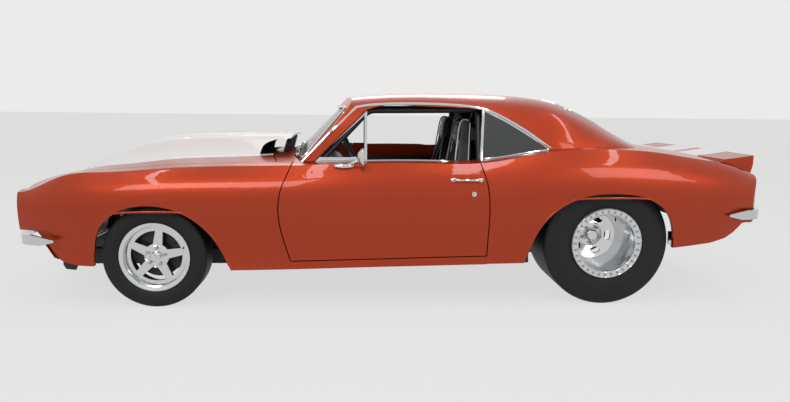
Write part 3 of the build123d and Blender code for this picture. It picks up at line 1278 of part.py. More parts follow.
seat_hollow = flat_wire(
    [
        (SEAT_X - 60, SEAT_BASE_Z + 185),
        (SEAT_X + 20, SEAT_BASE_Z + 172),
        (SEAT_X + 180, SEAT_BASE_Z + 150),
        (SEAT_X + 335, SEAT_BASE_Z + 150),
        (SEAT_X + 385, SEAT_BASE_Z + 215),
        (SEAT_X + 436, SEAT_BASE_Z + 460),
        (SEAT_X + 466, SEAT_BASE_Z + 680),
        (SEAT_X + 430, SEAT_BASE_Z + 745),
        (SEAT_X + 300, SEAT_BASE_Z + 760),
        (SEAT_X - 60, SEAT_BASE_Z + 400),
    ]
)
hollow_half = SEAT_WIDTH / 2 - SEAT_BOLSTER
seat -= side_prism(seat_hollow, SEAT_Y - hollow_half, SEAT_Y + hollow_half)
parts["seats"] = Part() + [seat, mirror(seat, about=Plane.XZ)]

CAGE = 21.0
STRUT = 17.0
CAGE_BEND = 90.0
HOOP_X = SEAT_X + 556
CAGE_FOOT_Z = FLOOR_Z + SHEET + SEAT
CAGE_TOP_Z = ROOF_HEIGHT - 100
CAGE_BELT_Z = BELT_HEIGHT - 20


def bent_tube(points):
    """Round bar along straight runs joined by bends."""
    path = FilletPolyline(*points, radius=CAGE_BEND)
    start = Plane(origin=path @ 0, z_dir=path % 0)
    return sweep(start * Circle(CAGE), path=path)


def between(low, high, z):
    """Point at one height on the line through two points."""
    return Vector(*low) + (Vector(*high) - Vector(*low)) * ((z - low[2]) / (high[2] - low[2]))


hoop_foot, hoop_waist = (HOOP_X, 690, CAGE_FOOT_Z - 20), (HOOP_X, 672, BELT_HEIGHT)
leg_foot, leg_waist = (DOOR_FRONT_X + 120, 704, CAGE_FOOT_Z - 20), (DOOR_FRONT_X + 150, 685, CAGE_BELT_Z)
hoop_side = [hoop_foot, hoop_waist, (HOOP_X, 590, CAGE_TOP_Z)]
cage = bent_tube(hoop_side + [(x, -y, z) for x, y, z in reversed(hoop_side)])
cross = between(hoop_foot, hoop_waist, CAGE_BELT_Z)
cage += tube((HOOP_X, -cross.Y, CAGE_BELT_Z), (HOOP_X, cross.Y, CAGE_BELT_Z), STRUT)
brace = between(hoop_foot, hoop_waist, BELT_HEIGHT - 330)
cage += tube((HOOP_X, -500, CAGE_TOP_Z), tuple(brace), STRUT)
for side in (-1, 1):
    leg = [(HOOP_X, 560, CAGE_TOP_Z - 8), (DOOR_FRONT_X + 462, 560, CAGE_TOP_Z - 18), leg_waist, leg_foot]
    cage += bent_tube([(x, side * y, z) for x, y, z in leg])
    cage += tube((HOOP_X, side * 420, CAGE_TOP_Z), (REAR_AXLE_X - 90, side * 368, TRUNK_Z - 20), STRUT)
    rear_end, front_end = between(hoop_foot, hoop_waist, FLOOR_Z + 320), between(leg_foot, leg_waist, FLOOR_Z + 170)
    side_bar = [(end.X, side * end.Y, end.Z) for end in (rear_end, front_end)]
    cage += tube(*side_bar, STRUT)
cage = cage - block(DOOR_FRONT_X - 100, KICK_X - SHEET, -1000, 1000, 0, CAGE_FOOT_Z)
cage = cage - block(KICK_X - SHEET, TAIL_X, -1000, 1000, 0, TRUNK_Z + SEAT)
parts["roll_cage"] = cage
parts["cowl"] = parts["cowl"] - parts["fender_left"] - parts["fender_right"]
parts["dashboard"] = (dash + column) - cage - parts["cowl"]
parts["subframe"] = parts["subframe"] - parts["front_valance"]

os.makedirs("parts", exist_ok=True)
for name, shape in parts.items():
    export_step(shape, f"parts/{name}.step")
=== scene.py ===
"""Dresses the two-door drag-strip car: paint, stripes, brightwork, glass, wheels, cabin and studio."""

from __future__ import annotations

import json
import logging
import math
from dataclasses import dataclass, field
from enum import Enum

import bmesh
import bpy
from mathutils import Matrix, Vector
from mathutils.bvhtree import BVHTree

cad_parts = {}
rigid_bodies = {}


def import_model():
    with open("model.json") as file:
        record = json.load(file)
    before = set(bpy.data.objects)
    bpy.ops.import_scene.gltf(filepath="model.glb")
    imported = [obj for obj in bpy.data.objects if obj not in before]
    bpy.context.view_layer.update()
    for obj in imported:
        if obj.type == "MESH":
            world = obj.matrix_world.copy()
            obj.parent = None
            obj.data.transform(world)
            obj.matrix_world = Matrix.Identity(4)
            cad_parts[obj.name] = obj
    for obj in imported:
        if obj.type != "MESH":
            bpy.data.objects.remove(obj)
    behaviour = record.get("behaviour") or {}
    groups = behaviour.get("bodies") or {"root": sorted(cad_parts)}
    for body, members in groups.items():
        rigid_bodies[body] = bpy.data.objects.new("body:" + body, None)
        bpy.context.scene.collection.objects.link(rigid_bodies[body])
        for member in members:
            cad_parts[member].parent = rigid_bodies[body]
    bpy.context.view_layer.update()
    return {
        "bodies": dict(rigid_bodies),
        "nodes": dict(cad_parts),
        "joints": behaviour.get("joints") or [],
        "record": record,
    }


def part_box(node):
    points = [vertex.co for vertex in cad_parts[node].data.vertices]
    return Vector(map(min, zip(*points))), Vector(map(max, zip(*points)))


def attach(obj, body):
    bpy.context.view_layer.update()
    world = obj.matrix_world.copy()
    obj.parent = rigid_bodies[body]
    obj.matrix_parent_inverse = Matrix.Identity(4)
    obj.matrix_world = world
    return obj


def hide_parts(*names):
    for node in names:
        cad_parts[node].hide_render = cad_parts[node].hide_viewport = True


log = logging.getLogger("car")
Point = tuple[float, float, float]


class Side(Enum):
    """The two sides of the car, by the sign of Y."""

    LEFT = -1
    RIGHT = 1


# ---------------------------------------------------------------- shader maths
class Reading:
    """A shader value: operators on it add Math nodes to its bench."""

    def __init__(self, bench: Bench, socket: bpy.types.NodeSocket) -> None:
        """Wraps one output socket."""
        self.bench = bench
        self.socket = socket

    def _with(self, operation: str, first: object, second: object = 0.0) -> Reading:
        """Adds one Math node.

        Args:
            operation: the Math node's operation.
            first: its first value or reading.
            second: its second value or reading.

        Returns:
            The node's result.
        """
        node = self.bench.node("ShaderNodeMath", {"operation": operation}, {0: first, 1: second})
        return Reading(self.bench, node.outputs[0])

    def __add__(self, other: object) -> Reading:
        """Sum."""
        return self._with("ADD", self, other)

    __radd__ = __add__

    def __mul__(self, other: object) -> Reading:
        """Product."""
        return self._with("MULTIPLY", self, other)

    __rmul__ = __mul__

    def __sub__(self, other: object) -> Reading:
        """Difference."""
        return self._with("SUBTRACT", self, other)

    def __rsub__(self, other: object) -> Reading:
        """Difference the other way round."""
        return self._with("SUBTRACT", other, self)

    def __truediv__(self, other: object) -> Reading:
        """Quotient."""
        return self._with("DIVIDE", self, other)

    def __gt__(self, other: object) -> Reading:
        """One where this is the larger, else zero."""
        return self._with("GREATER_THAN", self, other)

    def __lt__(self, other: object) -> Reading:
        """One where this is the smaller, else zero."""
        return self._with("LESS_THAN", self, other)

    def __abs__(self) -> Reading:
        """Size without sign."""
        return self._with("ABSOLUTE", self)

    def sign(self) -> Reading:
        """Minus one, zero or one."""
        return self._with("SIGN", self)

    def most(self, other: object) -> Reading:
        """The larger of the two."""
        return self._with("MAXIMUM", self, other)

    def sine(self) -> Reading:
        """Sine of the value in radians."""
        return self._with("SINE", self)

    def root(self) -> Reading:
        """Square root."""
        return self._with("SQRT", self)

    def soft(self, low: float, high: float) -> Reading:
        """Rises smoothly from zero at low to one at high."""
        node = self.bench.node(
            "ShaderNodeMapRange",
            {"interpolation_type": "SMOOTHSTEP"},
            {"Value": self, "From Min": low, "From Max": high},
        )
        return Reading(self.bench, node.outputs["Result"])


class Bench:
    """Builds the node tree of one material, or of the world."""

    def __init__(self, name: str, owner: bpy.types.World | None = None) -> None:
        """Starts an empty tree."""
        self.material = owner or bpy.data.materials.new(name)
        self.material.use_nodes = True
        self.tree = self.material.node_tree
        self.tree.nodes.clear()
        self._spot: bpy.types.Node | None = None

    def node(self, kind: str, settings: dict[str, object], inputs: dict[object, object]) -> bpy.types.Node:
        """Adds a node.

        Args:
            kind: its type name.
            settings: properties, set before the sockets.
            inputs: socket name or index to a value, socket or reading.

        Returns:
            The node.
        """
        made = self.tree.nodes.new(kind)
        for key, value in settings.items():
            setattr(made, key, value)
        for key, value in inputs.items():
            socket = made.inputs[key]
            if isinstance(value, Reading):
                self.tree.links.new(value.socket, socket)
            elif isinstance(value, bpy.types.NodeSocket):
                self.tree.links.new(value, socket)
            else:
                socket.default_value = value
        return made

    def _coordinates(self) -> bpy.types.Node:
        """The material's one Texture Coordinate node."""
        if self._spot is None:
            self._spot = self.node("ShaderNodeTexCoord", {}, {})
        return self._spot

    def place(self) -> tuple[Reading, Reading, Reading]:
        """X, Y and Z of the surface in the car's own frame."""
        parts = self.node("ShaderNodeSeparateXYZ", {}, {0: self._coordinates().outputs["Object"]})
        return tuple(Reading(self, parts.outputs[index]) for index in range(3))

    def facing(self) -> tuple[Reading, Reading, Reading]:
        """X, Y and Z of the surface normal in the car's own frame."""
        parts = self.node("ShaderNodeSeparateXYZ", {}, {0: self._coordinates().outputs["Normal"]})
        return tuple(Reading(self, parts.outputs[index]) for index in range(3))

    def noise(self, scale: float, detail: float = 2.0) -> Reading:
        """Cloudy noise on the car's own coordinates."""
        made = self.node(
            "ShaderNodeTexNoise", {}, {
                "Vector": self._coordinates().outputs["Object"], "Scale": scale, "Detail": detail
}
        )
        return Reading(self, made.outputs[0])

    def mix(self, share: object, first: object, second: object) -> bpy.types.NodeSocket:
        """Blend of two colours."""
        made = self.node("ShaderNodeMix", {"data_type": "RGBA"}, {0: share, 6: first, 7: second})
        return made.outputs[2]

    def bump(self, height: Reading, strength: float, distance: float) -> bpy.types.NodeSocket:
        """Normal disturbed by a height."""
        made = self.node("ShaderNodeBump", {}, {"Height": height, "Strength": strength, "Distance": distance})
        return made.outputs["Normal"]

    def around(self, centre: tuple[float, float]) -> Reading:
        """Distance from a crosswise axis at one X and Z."""
        x, _, z = self.place()
        across, up = x - centre[0], z - centre[1]
        return (across * across + up * up).root()

    def seen(self) -> Reading:
        """One for rays that show the background directly, in a gloss or through glass."""
        path = self.node("ShaderNodeLightPath", {}, {})
        camera, glossy, through = (
            Reading(self, path.outputs[name])
            for name in ("Is Camera Ray", "Is Glossy Ray", "Is Transmission Ray")
        )
        return camera.most(glossy).most(through)

    def surface(self, inputs: dict[object, object]) -> bpy.types.Material:
        """Closes the tree with one Principled surface."""
        shader = self.node("ShaderNodeBsdfPrincipled", {}, inputs)
        self.node("ShaderNodeOutputMaterial", {}, {"Surface": shader.outputs[0]})
        return self.material


def rgba(red: float, green: float, blue: float) -> tuple[float, float, float, float]:
    """Opaque colour."""
    return (red, green, blue, 1.0)


# ---------------------------------------------------------------- finishes
class Stripes(Enum):
    """Where white stripes cross a painted panel, as inner and outer distances from the centre plane."""

    NONE = (0.0, 0.0)
    HOOD = (0.048, 0.420)
    TAIL = (0.045, 0.345)


class Inside(Enum):
    """What the hidden side of a painted panel looks like."""

    PAINT = "paint"
    BLACK = "black"
    DOOR = "door"


@dataclass(frozen=True)
class OrangePaint:
    """Burnt-orange metallic under clear coat, with optional white stripes and, on the hood, painted shade in
    the scoop's throat.
    """

    colour: tuple[float, float, float] = (0.43, 0.036, 0.002)
    white: tuple[float, float, float] = (0.80, 0.80, 0.79)
    # Black of the panels' hidden sides, also used as painted shade in the hood scoop's throat.
    lining_and_throat_shade: tuple[float, float, float] = (0.012, 0.012, 0.013)
    door_card_top: float = 0.80
    throat_front: float = -0.87
    throat_half: float = 0.325
    throat_top: float = 0.925

    def material(self, name: str, stripes: Stripes, inside: Inside) -> bpy.types.Material:
        """Paint for one kind of panel.

        Args:
            name: the material's name.
            stripes: which stripes cross it.
            inside: how its hidden side is finished.

        Returns:
            The material.
        """
        bench = Bench(name)
        x, y, z = bench.place()
        _, n_y, n_z = bench.facing()
        flake = bench.noise(900.0, 1.0)
        deep = tuple(0.82 * value for value in self.colour)
        colour = bench.mix(flake.soft(0.35, 0.65), rgba(*deep), rgba(*self.colour))
        metal: object = 0.55
        coat: object = 0.55
        rough: object = 0.34
        if stripes is not Stripes.NONE:
            inner, outer = stripes.value
            band = (abs(y) > inner) * (abs(y) < outer) * (n_z > -0.2)
            colour = bench.mix(band, colour, rgba(*self.white))
            metal = 0.55 - band * 0.55
        if inside is not Inside.PAINT:
            inward = (n_y * y.sign() * -1.0).soft(0.25, 0.35).most((n_z * -1.0).soft(0.35, 0.5))
            if inside is Inside.DOOR:
                inward = inward * (z < self.door_card_top)
            # On the hood, the scoop's throat turns black whatever way it faces: painted shade in the recess.
            if stripes is Stripes.HOOD:
                throat_shade = (x > self.throat_front) * (abs(y) < self.throat_half) * (z < self.throat_top)
                inward = inward.most(throat_shade)
            colour = bench.mix(inward, colour, rgba(*self.lining_and_throat_shade))
            metal = (1.0 - inward) * metal
            rough = inward * 0.4 + 0.34
            coat = 0.55 - inward * 0.55
        return bench.surface(
            {
                "Base Color": colour,
                "Metallic": metal,
                "Roughness": rough,
                "Coat Weight": coat,
                "Coat Roughness": 0.03,
                "Specular IOR Level": 0.12,
                "IOR": 1.5,
            }
        )


@dataclass(frozen=True)
class PlainFinish:
    """One even finish, with a little cloudy wear in its roughness and an optional grain."""

    name: str
    colour: tuple[float, float, float]
    roughness: float
    metallic: float = 0.0
    wear: float = 0.0
    grain: float = 0.0
    grain_scale: float = 400.0
    coat: float = 0.0

    def material(self) -> bpy.types.Material:
        """Builds the material."""
        bench = Bench(self.name)
        inputs: dict[object, object] = {
            "Base Color": rgba(*self.colour),
            "Roughness": self.roughness,
            "Metallic": self.metallic,
            "Coat Weight": self.coat,
        }
        if self.wear:
            inputs["Roughness"] = bench.noise(9.0, 4.0) * self.wear + (self.roughness - 0.5 * self.wear)
        if self.grain:
            inputs["Normal"] = bench.bump(bench.noise(self.grain_scale, 2.0), self.grain, 0.001)
        return bench.surface(inputs)


@dataclass(frozen=True)
class GlassFinish:
    """Thin tinted pane: see-through body under a glossy face."""

    name: str
    tint: tuple[float, float, float]
    alpha: float

    def material(self) -> bpy.types.Material:
        """Builds the material."""
        bench = Bench(self.name)
        made = bench.surface(
            {
                "Base Color": rgba(*self.tint),
                "Roughness": 0.03,
                "Alpha": self.alpha,
                "IOR": 1.5,
                "Coat Weight": 1.0,
}
        )
        return made


@dataclass(frozen=True)
class MouldedLens:
    """Lamp lens with upright moulded flutes under a glossy face, its colour darker in the flutes' troughs as
    painted shade.
    """

    name: str
    tint: tuple[float, float, float]
    metallic: float
    flutes: float

    def material(self) -> bpy.types.Material:
        """Builds the material."""
        bench = Bench(self.name)
        _, y, z = bench.place()
        ribs = (y * self.flutes).sine() + (z * self.flutes * 0.25).sine() * 0.4
        # Darker tint where the flutes dip: painted shade in the troughs.
        trough_shaded_tint = bench.mix(
            ribs.soft(-0.6, 0.8), rgba(*[0.72 * value for value in self.tint]), rgba(*self.tint)
)
        return bench.surface(
            {
                "Base Color": trough_shaded_tint,
                "Metallic": self.metallic,
                "Roughness": bench.noise(40.0) * 0.06 + 0.1,
                "Coat Weight": 1.0,
                "Coat Roughness": 0.02,
                "Normal": bench.bump(ribs, 0.35, 0.003),
            }
        )


@dataclass(frozen=True)
class SeatVinyl:
    """Black grained vinyl whose centre is sewn into pleats."""

    colour: tuple[float, float, float] = (0.013, 0.013, 0.014)
    seat_y: float = 0.374
    pleat_half: float = 0.135
    pitch: float = 0.052

    def material(self) -> bpy.types.Material:
        """Builds the material."""
        bench = Bench("seat_vinyl")
        x, y, z = bench.place()
        middle = 1.0 - (abs(abs(y) - self.seat_y)).soft(self.pleat_half - 0.01, self.pleat_half)
        run = (z - x * 0.6) * (math.pi / self.pitch)
        pleats = abs(run.sine()).soft(0.0, 0.45) * middle
        grain = bench.noise(750.0, 2.0)
        height = pleats * 0.8 + grain * 0.06
        worn = bench.noise(7.0, 3.0)
        pale = rgba(*[1.7 * value for value in self.colour])
        return bench.surface(
            {
                "Base Color": bench.mix(worn.soft(0.4, 0.75), rgba(*self.colour), pale),
                "Roughness": worn * 0.14 + 0.40,
                "Normal": bench.bump(height, 0.7, 0.006),
            }
        )


@dataclass(frozen=True)
class WheelMetal:
    """Polished wheel whose deeper parts, inside a radius and behind a plane, are dark brake iron."""

    name: str
    axle: tuple[float, float]
    back: float
    radius: float
    colour: tuple[float, float, float] = (0.66, 0.67, 0.68)
    iron: tuple[float, float, float] = (0.035, 0.035, 0.037)

    def material(self) -> bpy.types.Material:
        """Builds the material."""
        bench = Bench(self.name)
        _, y, _ = bench.place()
        spot = bench.around(self.axle)
        deep = (spot < self.radius) * (abs(y) < self.back)
        turned = (spot * 2600.0).sine()
        wear = bench.noise(11.0, 4.0)
        return bench.surface(
            {
                "Base Color": bench.mix(deep, rgba(*self.colour), rgba(*self.iron)),
                "Metallic": 1.0 - deep * 0.35,
                "Roughness": wear * 0.08 + deep * 0.3 + 0.09,
                "Normal": bench.bump(turned, 0.015, 0.001),
            }
        )


@dataclass(frozen=True)
class TyreRubber:
    """Black rubber with fine moulded rings on the sidewall and, at the front, grooves round the tread."""

    name: str
    colour: tuple[float, float, float] = (0.007, 0.007, 0.0073)
    axle: tuple[float, float] = (0.0, 0.0)
    shoulder: float = 1.0
    rib_pitch: float = 0.0

    def material(self) -> bpy.types.Material:
        """Builds the material."""
        bench = Bench(self.name)
        _, y, _ = bench.place()
        radius = bench.around(self.axle)
        rings = (radius * 900.0).sine() * (radius < self.shoulder)
        if self.rib_pitch:
            groove = (y * (2 * math.pi / self.rib_pitch)).sine().soft(0.55, 0.8)
            rings = rings - groove * (radius > self.shoulder) * 6.0
        dust = bench.noise(6.0, 4.0)
        return bench.surface(
            {
                "Base Color": bench.mix(
                    dust, rgba(*self.colour), rgba(*[1.5 * value for value in self.colour])
),
                "Roughness": dust * 0.12 + 0.5,
                "Specular IOR Level": 0.3,
                "Normal": bench.bump(rings, 0.10, 0.002),
            }
        )


@dataclass
class Palette:
    """Every finish on the car, made once."""

    made: dict[str, bpy.types.Material] = field(default_factory=dict)

    def build(self) -> None:
        """Makes the materials."""
        paint = OrangePaint()
        self.made["panel"] = paint.material("panel_paint", Stripes.NONE, Inside.BLACK)
        self.made["striped_hood"] = paint.material("striped_hood_paint", Stripes.HOOD, Inside.BLACK)
        self.made["striped_tail"] = paint.material("striped_tail_paint", Stripes.TAIL, Inside.BLACK)
        self.made["door"] = paint.material("door_paint", Stripes.NONE, Inside.DOOR)
        self.made["rim"] = paint.material("solid_paint", Stripes.NONE, Inside.PAINT)
        plain = [
            PlainFinish("chrome", (0.62, 0.63, 0.64), 0.05, 1.0, 0.04),
            PlainFinish("polished", (0.66, 0.67, 0.68), 0.14, 1.0, 0.08),
            PlainFinish("zinc", (0.42, 0.42, 0.41), 0.34, 1.0, 0.12),
            PlainFinish("rubber_seal", (0.012, 0.012, 0.012), 0.62, 0.0, 0.1),
            PlainFinish("webbing", (0.016, 0.016, 0.017), 0.8, 0.0, 0.05, 0.5, 1400.0),
            PlainFinish("engine_paint", (0.30, 0.035, 0.010), 0.38, 0.0, 0.1),
            PlainFinish("header_coat", (0.30, 0.30, 0.29), 0.42, 0.85, 0.2),
            PlainFinish("hose_rubber", (0.014, 0.014, 0.014), 0.55, 0.0, 0.1),
            PlainFinish("dial_face", (0.010, 0.010, 0.011), 0.35, 0.0, 0.05),
            PlainFinish("dial_white", (0.78, 0.78, 0.76), 0.5, 0.0, 0.05),
            PlainFinish("amber_lens", (0.55, 0.16, 0.01), 0.12, 0.0, 0.02, 0.0, 400.0, 1.0),
            PlainFinish("alloy_box", (0.50, 0.50, 0.50), 0.3, 1.0, 0.15),
            PlainFinish("satin_black", (0.014, 0.014, 0.015), 0.42, 0.0, 0.1),
            PlainFinish("chassis_black", (0.018, 0.018, 0.019), 0.55, 0.0, 0.2),
            PlainFinish("cast_grey", (0.09, 0.09, 0.095), 0.5, 0.7, 0.2, 0.2),
            PlainFinish("vinyl_black", (0.012, 0.012, 0.013), 0.5, 0.0, 0.1, 0.25, 700.0),
            PlainFinish("piping", (0.75, 0.75, 0.73), 0.5, 0.0, 0.05),
            # Near-black for the plate in the hood scoop's mouth: painted shade.
            PlainFinish("void_black", (0.004, 0.004, 0.004), 0.8, 0.0, 0.05),
        ]
        for finish in plain:
            self.made[finish.name] = finish.material()
        self.made["red_lens"] = MouldedLens("red_lens", (0.34, 0.010, 0.008), 0.0, 420.0).material()
        self.made["clear_lens"] = MouldedLens("clear_lens", (0.72, 0.74, 0.76), 0.5, 300.0).material()
        self.made["seat_vinyl"] = SeatVinyl().material()
        self.made["windscreen_glass"] = GlassFinish("windscreen_glass", (0.10, 0.16, 0.145), 0.42).material()
        self.made["smoked_glass"] = GlassFinish("smoked_glass", (0.02, 0.024, 0.026), 0.86).material()

    def __getitem__(self, name: str) -> bpy.types.Material:
        """One finish by name."""
        return self.made[name]


# ---------------------------------------------------------------- mesh tools
class Shape:
    """A mesh being made with bmesh operators."""

    def __init__(self) -> None:
        """Starts empty."""
        self.bm = bmesh.new()

    def box(self, low: Point, high: Point, bevel: float = 0.0) -> Shape:
        """Adds a box between two corners, with rounded edges."""
        size = [b - a for a, b in zip(low, high)]
        centre = [(a + b) / 2 for a, b in zip(low, high)]
        spot = Matrix.Translation(centre) @ Matrix.Diagonal((*size, 1.0))
        made = bmesh.ops.create_cube(self.bm, size=1.0, matrix=spot)
        if bevel:
            edges = {edge for vert in made["verts"] for edge in vert.link_edges}
            self.round(list(edges), bevel)
        return self

    def round(self, edges: list[bmesh.types.BMEdge], width: float, segments: int = 2) -> None:
        """Bevels some edges."""
        bmesh.ops.bevel(
            self.bm, geom=edges, offset=width, segments=segments, profile=0.5, affect="EDGES", material=-1
        )

    def rod(
        self, start: Point, end: Point, radius: float, sides: int = 16, end_radius: float | None = None
) -> Shape:
        """Adds a round bar or cone between two points."""
        run = Vector(end) - Vector(start)
        turn = Vector((0, 0, 1)).rotation_difference(run.normalized()).to_matrix().to_4x4()
        spot = Matrix.Translation((Vector(start) + Vector(end)) / 2) @ turn
        bmesh.ops.create_cone(
            self.bm,
            cap_ends=True,
            segments=sides,
            radius1=radius,
            radius2=radius if end_radius is None else end_radius,
            depth=run.length,
            matrix=spot,
        )
        return self

    def ball(self, centre: Point, scale: Point, rings: int = 10) -> Shape:
        """Adds an ellipsoid."""
        spot = Matrix.Translation(centre) @ Matrix.Diagonal((*scale, 1.0))
        bmesh.ops.create_uvsphere(self.bm, u_segments=2 * rings, v_segments=rings, radius=1.0, matrix=spot)
        return self

    def turn(self, profile: list[tuple[float, float]], centre: Point, axis: Vector, steps: int = 48) -> Shape:
        """Spins a profile of (distance along the axis, radius) about an axis through a point."""
        along = axis.normalized()
        out = along.orthogonal().normalized()
        origin = Vector(centre)
        verts = [self.bm.verts.new(origin + along * a + out * r) for a, r in profile]
        edges = [self.bm.edges.new(pair) for pair in zip(verts, verts[1:])]
        bmesh.ops.spin(
            self.bm,
            geom=verts + edges,
            cent=origin,
            axis=along,
            angle=2 * math.pi,
            steps=steps,
            use_merge=True,
            use_duplicate=False,
        )
        bmesh.ops.remove_doubles(self.bm, verts=self.bm.verts, dist=1e-5)
        return self

    def tube(
        self, path: list[Point], radius: float, closed: bool = False, smooth: bool = True, round_by: int = 2
) -> Shape:
        """Runs a round bar along a path.

        Args:
            path: control points of a smooth curve, or corners of straight runs.
            radius: the bar's radius.
            closed: whether the bar joins its own start.
            smooth: whether the path is a smooth curve.
            round_by: how finely the bar is rounded.

        Returns:
            This shape.
        """
        curve = bpy.data.curves.new("path", "CURVE")
        curve.dimensions = "3D"
        curve.bevel_depth = radius
        curve.bevel_resolution = round_by
        curve.use_fill_caps = True
        curve.resolution_u = 6
        line = curve.splines.new("NURBS" if smooth else "POLY")
        line.points.add(len(path) - 1)
        for point, spot in zip(line.points, path):
            point.co = (*spot, 1.0)
        line.use_cyclic_u = closed
        if smooth:
            line.order_u = 3
            line.use_endpoint_u = not closed
        carrier = bpy.data.objects.new("path", curve)
        mesh = bpy.data.meshes.new_from_object(carrier)
        self.bm.from_mesh(mesh)
        bpy.data.objects.remove(carrier)
        bpy.data.curves.remove(curve)
        bpy.data.meshes.remove(mesh)
        return self

    def plate(self, outline: list[Point], depth: Point, bevel: float = 0.0) -> Shape:
        """Extrudes a flat outline by a depth, with rounded edges."""
        verts = [self.bm.verts.new(point) for point in outline]
        face = bmesh.ops.contextual_create(self.bm, geom=verts)["faces"]
        pushed = bmesh.ops.extrude_face_region(self.bm, geom=face, use_keep_orig=True)["geom"]
        moved = [item for item in pushed if isinstance(item, bmesh.types.BMVert)]
        bmesh.ops.translate(self.bm, verts=moved, vec=Vector(depth))
        if bevel:
            edges = {edge for vert in verts + moved for edge in vert.link_edges}
            self.round([edge for edge in edges if edge.calc_face_angle(0.0) > 0.6], bevel)
        return self

    def strap(self, path: list[tuple[float, float]], low: float, high: float, thick: float) -> Shape:
        """Adds a band that follows (X, Z) points and spans two Y values, thickened upwards and forwards."""
        rise = [(x - 0.7 * thick, z + 0.7 * thick) for x, z in path]
        outline = [(x, low, z) for x, z in path + rise[::-1]]
        return self.plate(outline, (0, high - low, 0))

    def ring(
        self, centre: Point, axis: Point, outer: float, wall: float, depth: float, steps: int = 32
) -> Shape:
        """Adds a rounded ring whose back lies on a point and which stands up along an axis."""
        inner = outer - wall
        soft = 0.3 * min(wall, depth)
        profile = [(0, inner), (depth - soft, inner), (depth, inner + soft), (depth, outer - soft)]
        profile += [(depth - soft, outer), (0, outer), (0, inner)]
        return self.turn(profile, centre, Vector(axis), steps)

    def knob(self, centre: Point, axis: Point, radius: float, depth: float, steps: int = 24) -> Shape:
        """Adds a rounded button that stands up along an axis."""
        soft = 0.3 * min(radius, depth)
        profile = [(0, 1e-6), (0, radius), (depth - soft, radius), (depth, radius - soft), (depth, 1e-6)]
        return self.turn(profile, centre, Vector(axis), steps)

    def finish(
        self, name: str, finish: str, body: str = "body", smooth: float = 35.0, slot: str = ""
) -> bpy.types.Object:
        """Closes the shape as a piece that rides on a body.

        Args:
            name: the piece's name.
            finish: the name of its finish.
            body: the body that it rides on.
            smooth: largest angle that is shaded smooth, in degrees.
            slot: not used.

        Returns:
            The piece.
        """
        bmesh.ops.recalc_face_normals(self.bm, faces=self.bm.faces)
        for face in self.bm.faces:
            face.smooth = True
        for edge in self.bm.edges:
            edge.smooth = edge.calc_face_angle(0.0) < math.radians(smooth)
        mesh = bpy.data.meshes.new(name)
        self.bm.to_mesh(mesh)
        self.bm.free()
        mesh.materials.append(PALETTE[finish])
        piece = bpy.data.objects.new(name, mesh)
        bpy.context.scene.collection.objects.link(piece)
        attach(piece, body)
        return piece


@dataclass
class Skin:
    """Finds points on the outside of CAD nodes."""

    nodes: tuple[str, ...]
    tree: BVHTree = field(init=False)

    def __post_init__(self) -> None:
        """Collects the nodes' triangles."""
        verts: list[Vector] = []
        faces: list[list[int]] = []
        for name in self.nodes:
            mesh = FRAME["nodes"][name].data
            start = len(verts)
            verts.extend(vert.co.copy() for vert in mesh.vertices)
            faces.extend([start + index for index in face.vertices] for face in mesh.polygons)
        self.tree = BVHTree.FromPolygons(verts, faces)

    def flank(self, x: float, z: float, side: Side, lift: float = 0.0) -> Point:
        """Point on the car's flank at one X and Z, lifted off along the ray."""
        start = Vector((x, side.value * 1.4, z))
        spot = self.tree.ray_cast(start, Vector((0, -side.value, 0)))[0]
        if spot is None:
            spot = self.tree.find_nearest(Vector((x, side.value * 0.75, z)))[0]
        return (spot.x, spot.y + side.value * lift, spot.z)

    def struck(self, x: float, z: float, side: Side, reach: float = 0.5) -> bool:
        """Whether a sideways ray at one X and Z meets the flank within a reach."""
        start = Vector((x, side.value * 1.1, z))
        return self.tree.ray_cast(start, Vector((0, -side.value, 0)), reach)[0] is not None

    def mouth(
        self, axle: tuple[float, float], turn: float, side: Side, low: float, high: float
) -> Point | None:
        """Point on a wheel arch's edge at one angle round the axle, or None where the arch is open."""
        ahead = Vector((math.sin(turn), math.cos(turn)))

        def spot(reach: float) -> tuple[float, float]:
            """X and Z at a distance from the axle."""
            return (axle[0] + ahead.x * reach, axle[1] + ahead.y * reach)

        if self.struck(*spot(low), side, 0.4) or not self.struck(*spot(high), side, 0.4):
            return None
        for _ in range(16):
            middle = (low + high) / 2
            low, high = (low, middle) if self.struck(*spot(middle), side, 0.4) else (middle, high)
        x, z = spot(high + 0.004)
        return self.flank(x, z, side)

    def end(self, y: float, z: float, rear: bool, lift: float = 0.0) -> Point:
        """Point on the car's nose or tail at one Y and Z."""
        way = -1.0 if rear else 1.0
        spot = self.tree.ray_cast(Vector((-3.0 * way, y, z)), Vector((way, 0, 0)))[0]
        if spot is None:
            spot = self.tree.find_nearest(Vector((-2.3 * way, y, z)))[0]
        return (spot.x - way * lift, spot.y, spot.z)

    def top(self, x: float, y: float, lift: float = 0.0) -> Point:
        """Point on the car's top at one X and Y."""
        spot = self.tree.ray_cast(Vector((x, y, 2.0)), Vector((0, 0, -1)))[0]
        if spot is None:
            spot = self.tree.find_nearest(Vector((x, y, 1.0)))[0]
        return (spot.x, spot.y, spot.z + lift)


FRAME: dict = {}
PALETTE = Palette()


